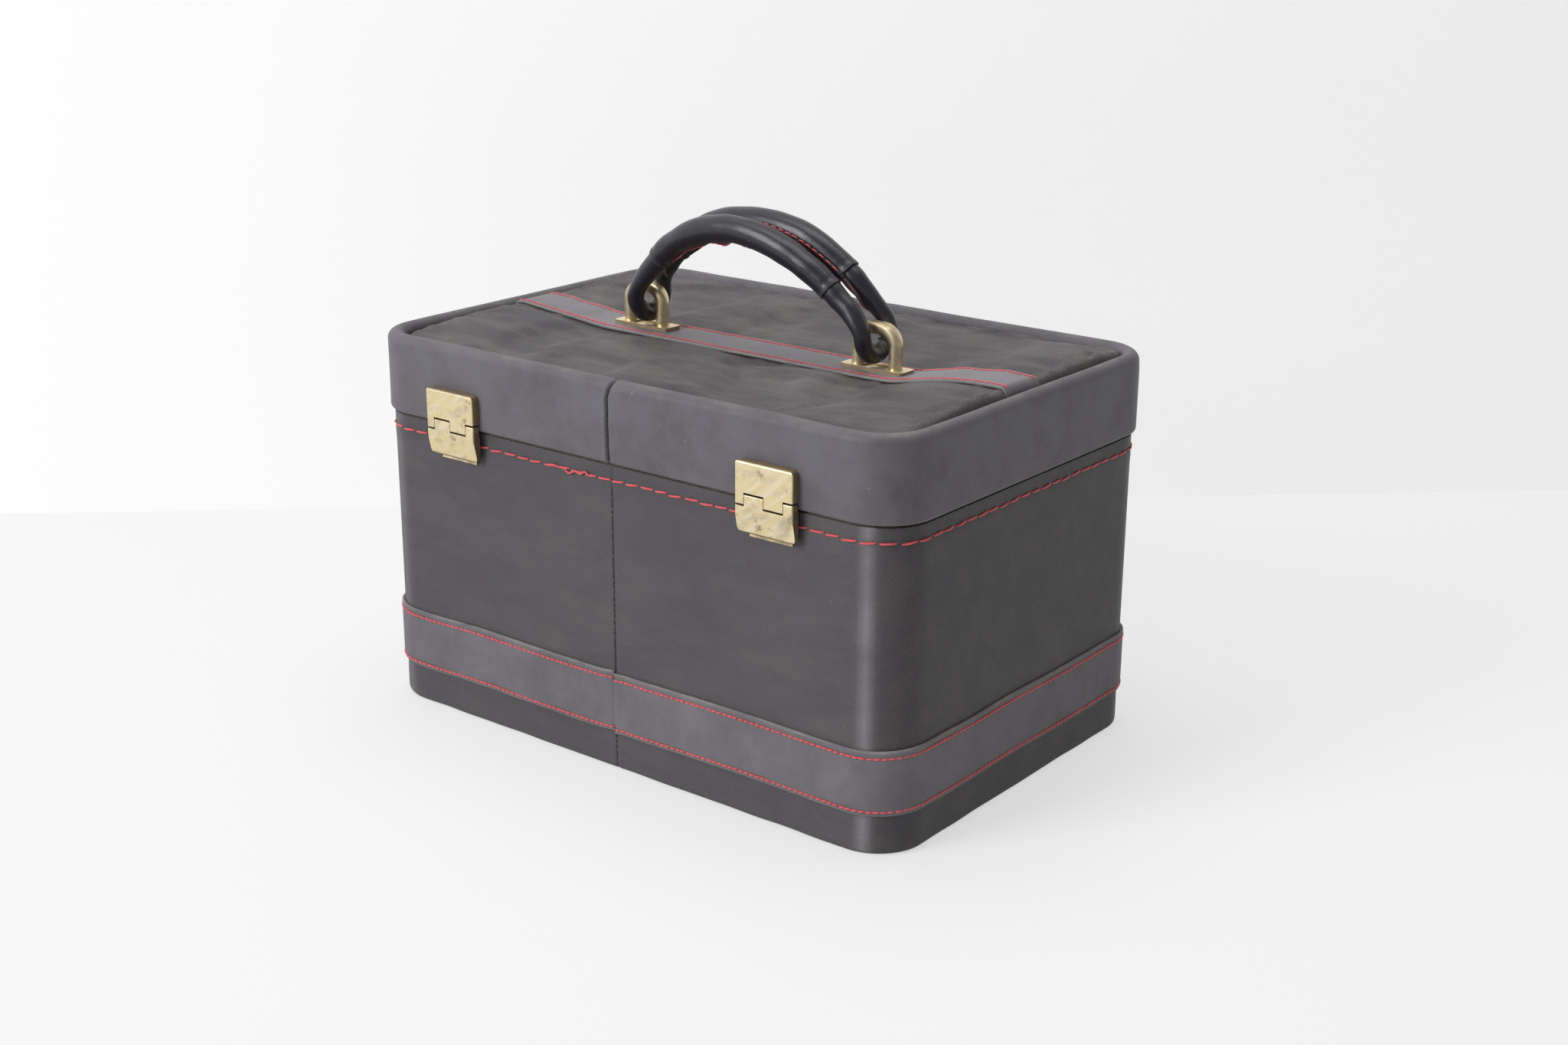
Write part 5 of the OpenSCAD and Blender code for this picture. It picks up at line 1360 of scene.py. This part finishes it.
class CASE_OT_staples(bpy.types.Operator):
    """Brass staples and their plates"""

    bl_idname = "case.staples"
    bl_label = "Staples and plates"

    def arch(self, side):
        """Round posts that turn into a flatter arch: the section's outer half is pressed in over the top
        and its sides grow squarer."""
        spring, tenon_r = ROD_Z - BEND_R, 2 * MM
        heights = np.concatenate([[BOARD_LOW, PLATE_TOP - 0.02 * MM], np.linspace(PLATE_TOP, spring, 10)])
        left = np.stack([np.full(len(heights), -POST_OFF), heights], -1)
        bend = arc_line((-POST_OFF + BEND_R, spring), BEND_R, 180, 90, 16)[1:]
        half = np.concatenate([left, bend])
        line = np.concatenate([half, (half * [-1, 1])[::-1][1:]])
        path = np.stack([line[:, 0], 0 * line[:, 0], line[:, 1]], -1)
        size = np.full(len(path), ROD_R)
        size[:2] = size[-2:] = tenon_r
        along = unit(np.gradient(path, axis=0))
        along[:3] = (0, 0, 1)
        along[-3:] = (0, 0, -1)
        across = np.array([0, 1.0, 0])
        out = unit(np.cross(across, along))
        flat = ease((path[:, 2] - spring) / BEND_R)[:, None]
        c, k = np.cos(circle(32)), np.sin(circle(32))
        power = 1 - 0.35 * flat
        c, k = np.sign(c) * np.abs(c) ** power, np.sign(k) * np.abs(k) ** power
        away = (path - [0, 0, spring]) * [1, 0, 1] + 1e-9
        sign = np.sign((out * away).sum(-1, keepdims=True) + 1e-9)
        press = np.where(c * sign > 0, 1 - 0.2 * flat, 1.0)
        grid = path[:, None] + size[:, None, None] * spread(c * press, k * (1 + 0.04 * flat), out, across)
        return grid + np.array([side * STAPLE_X, 0, 0])

    def execute(self, context):
        for side, name in SIDES:
            swept(f"brass_staple_{name}", self.arch(side), "staple_brass", "lid", f"handle_staple_{name}",
                  smooth_angle=50)
            worn_copy(f"handle_plate_{name}", f"brass_plate_{name}", "lid", "plate_brass", 0.35 * MM)
        return {"FINISHED"}


class CASE_OT_latches(bpy.types.Operator):
    """Latch plates and flaps with softened edges"""

    bl_idname = "case.latches"
    bl_label = "Latches"

    def execute(self, context):
        for _, name in SIDES:
            for part, body, width in (("plate", "lid", 0.45 * MM), ("flap", f"{name}_flap", 0.4 * MM)):
                worn_copy(f"latch_{part}_{name}", f"brass_latch_{part}_{name}", body, "latch_brass", width, 3)
        return {"FINISHED"}


class CASE_OT_floor_pad(bpy.types.Operator):
    """Padded floor inside the case"""

    bl_idname = "case.floor_pad"
    bl_label = "Floor pad"

    def top(self, x, y):
        """Crowned pad with a sewn line 16 mm in from its edge."""
        inset = inset_of(x, y, *FLOOR)
        crown = 2 * MM + (FLOOR_H - 2 * MM) * rolled(inset, 30 * MM)
        sewn = 0.9 * MM * hump(inset, 16 * MM, 1.6 * MM)
        slow = 0.25 * MM * waviness(x + y, 111, 0.03, 0.09) * ease(inset / (20 * MM))
        return FLOOR_Z + np.minimum(crown - sewn + slow, FLOOR_H)

    def execute(self, context):
        upper, lower = padded_grid(FLOOR, FLOOR_Z, self.top, 121, 81)
        piece = swept("padded_floor", np.concatenate([upper, lower], 1), "lining", "case_body", "floor_pad")
        return {"FINISHED"}


class CASE_OT_frame_finish(bpy.types.Operator):
    """Gives every CAD node that still shows its own finish"""

    bl_idname = "case.frame_finish"
    bl_label = "Frame finishes"

    def execute(self, context):
        slots = {row["node"]: row["material_slot"] for row in frame["record"]["subparts"]}
        kept = finishes()
        for node, item in frame["nodes"].items():
            finish = "flat_cloth" if slots[node] == "woven_cloth" else slots[node]
            # The latch catches under the flaps get the brass with painted shade.
            finish = "painted_shade_brass" if node.startswith("latch_catch") else finish
            item.data.materials.clear()
            item.data.materials.append(kept[finish])
        return {"FINISHED"}


class CASE_PT_panel(bpy.types.Panel):
    """Lists the pieces, sizes and colours of the case"""

    bl_idname = "CASE_PT_panel"
    bl_label = "Vanity case"
    bl_space_type = "VIEW_3D"
    bl_region_type = "UI"
    bl_category = "Vanity case"

    def draw(self, context):
        scene = context.scene
        for settings in (scene.case_sizes, scene.case_colours, scene.case_stage):
            box = self.layout.box()
            for key in settings.bl_rna.properties.keys():
                if key not in ("rna_type", "name"):
                    box.prop(settings, key)
        for operator in OPERATORS:
            self.layout.operator(operator.bl_idname)


SETTINGS = {"case_sizes": CaseSizes, "case_colours": CaseColours, "case_stage": CaseStage}
OPERATORS = (CASE_OT_stage, CASE_OT_frame_finish, CASE_OT_body_cover, CASE_OT_foot_band,
             CASE_OT_long_stitches, CASE_OT_lid_band, CASE_OT_lid_pad, CASE_OT_lid_strap,
             CASE_OT_handle, CASE_OT_staples, CASE_OT_latches, CASE_OT_floor_pad)


def register():
    for kind in (*SETTINGS.values(), *OPERATORS, CASE_PT_panel):
        bpy.utils.register_class(kind)
    for name, kind in SETTINGS.items():
        setattr(bpy.types.Scene, name, bpy.props.PointerProperty(type=kind))


def unregister():
    for name in SETTINGS:
        delattr(bpy.types.Scene, name)
    for kind in (CASE_PT_panel, *reversed(OPERATORS), *reversed(SETTINGS.values())):
        bpy.utils.unregister_class(kind)


def main():
    register()
    for operator in OPERATORS:
        group, name = operator.bl_idname.split(".")
        getattr(getattr(bpy.ops, group), name)()


if __name__ == "__main__":
    main()
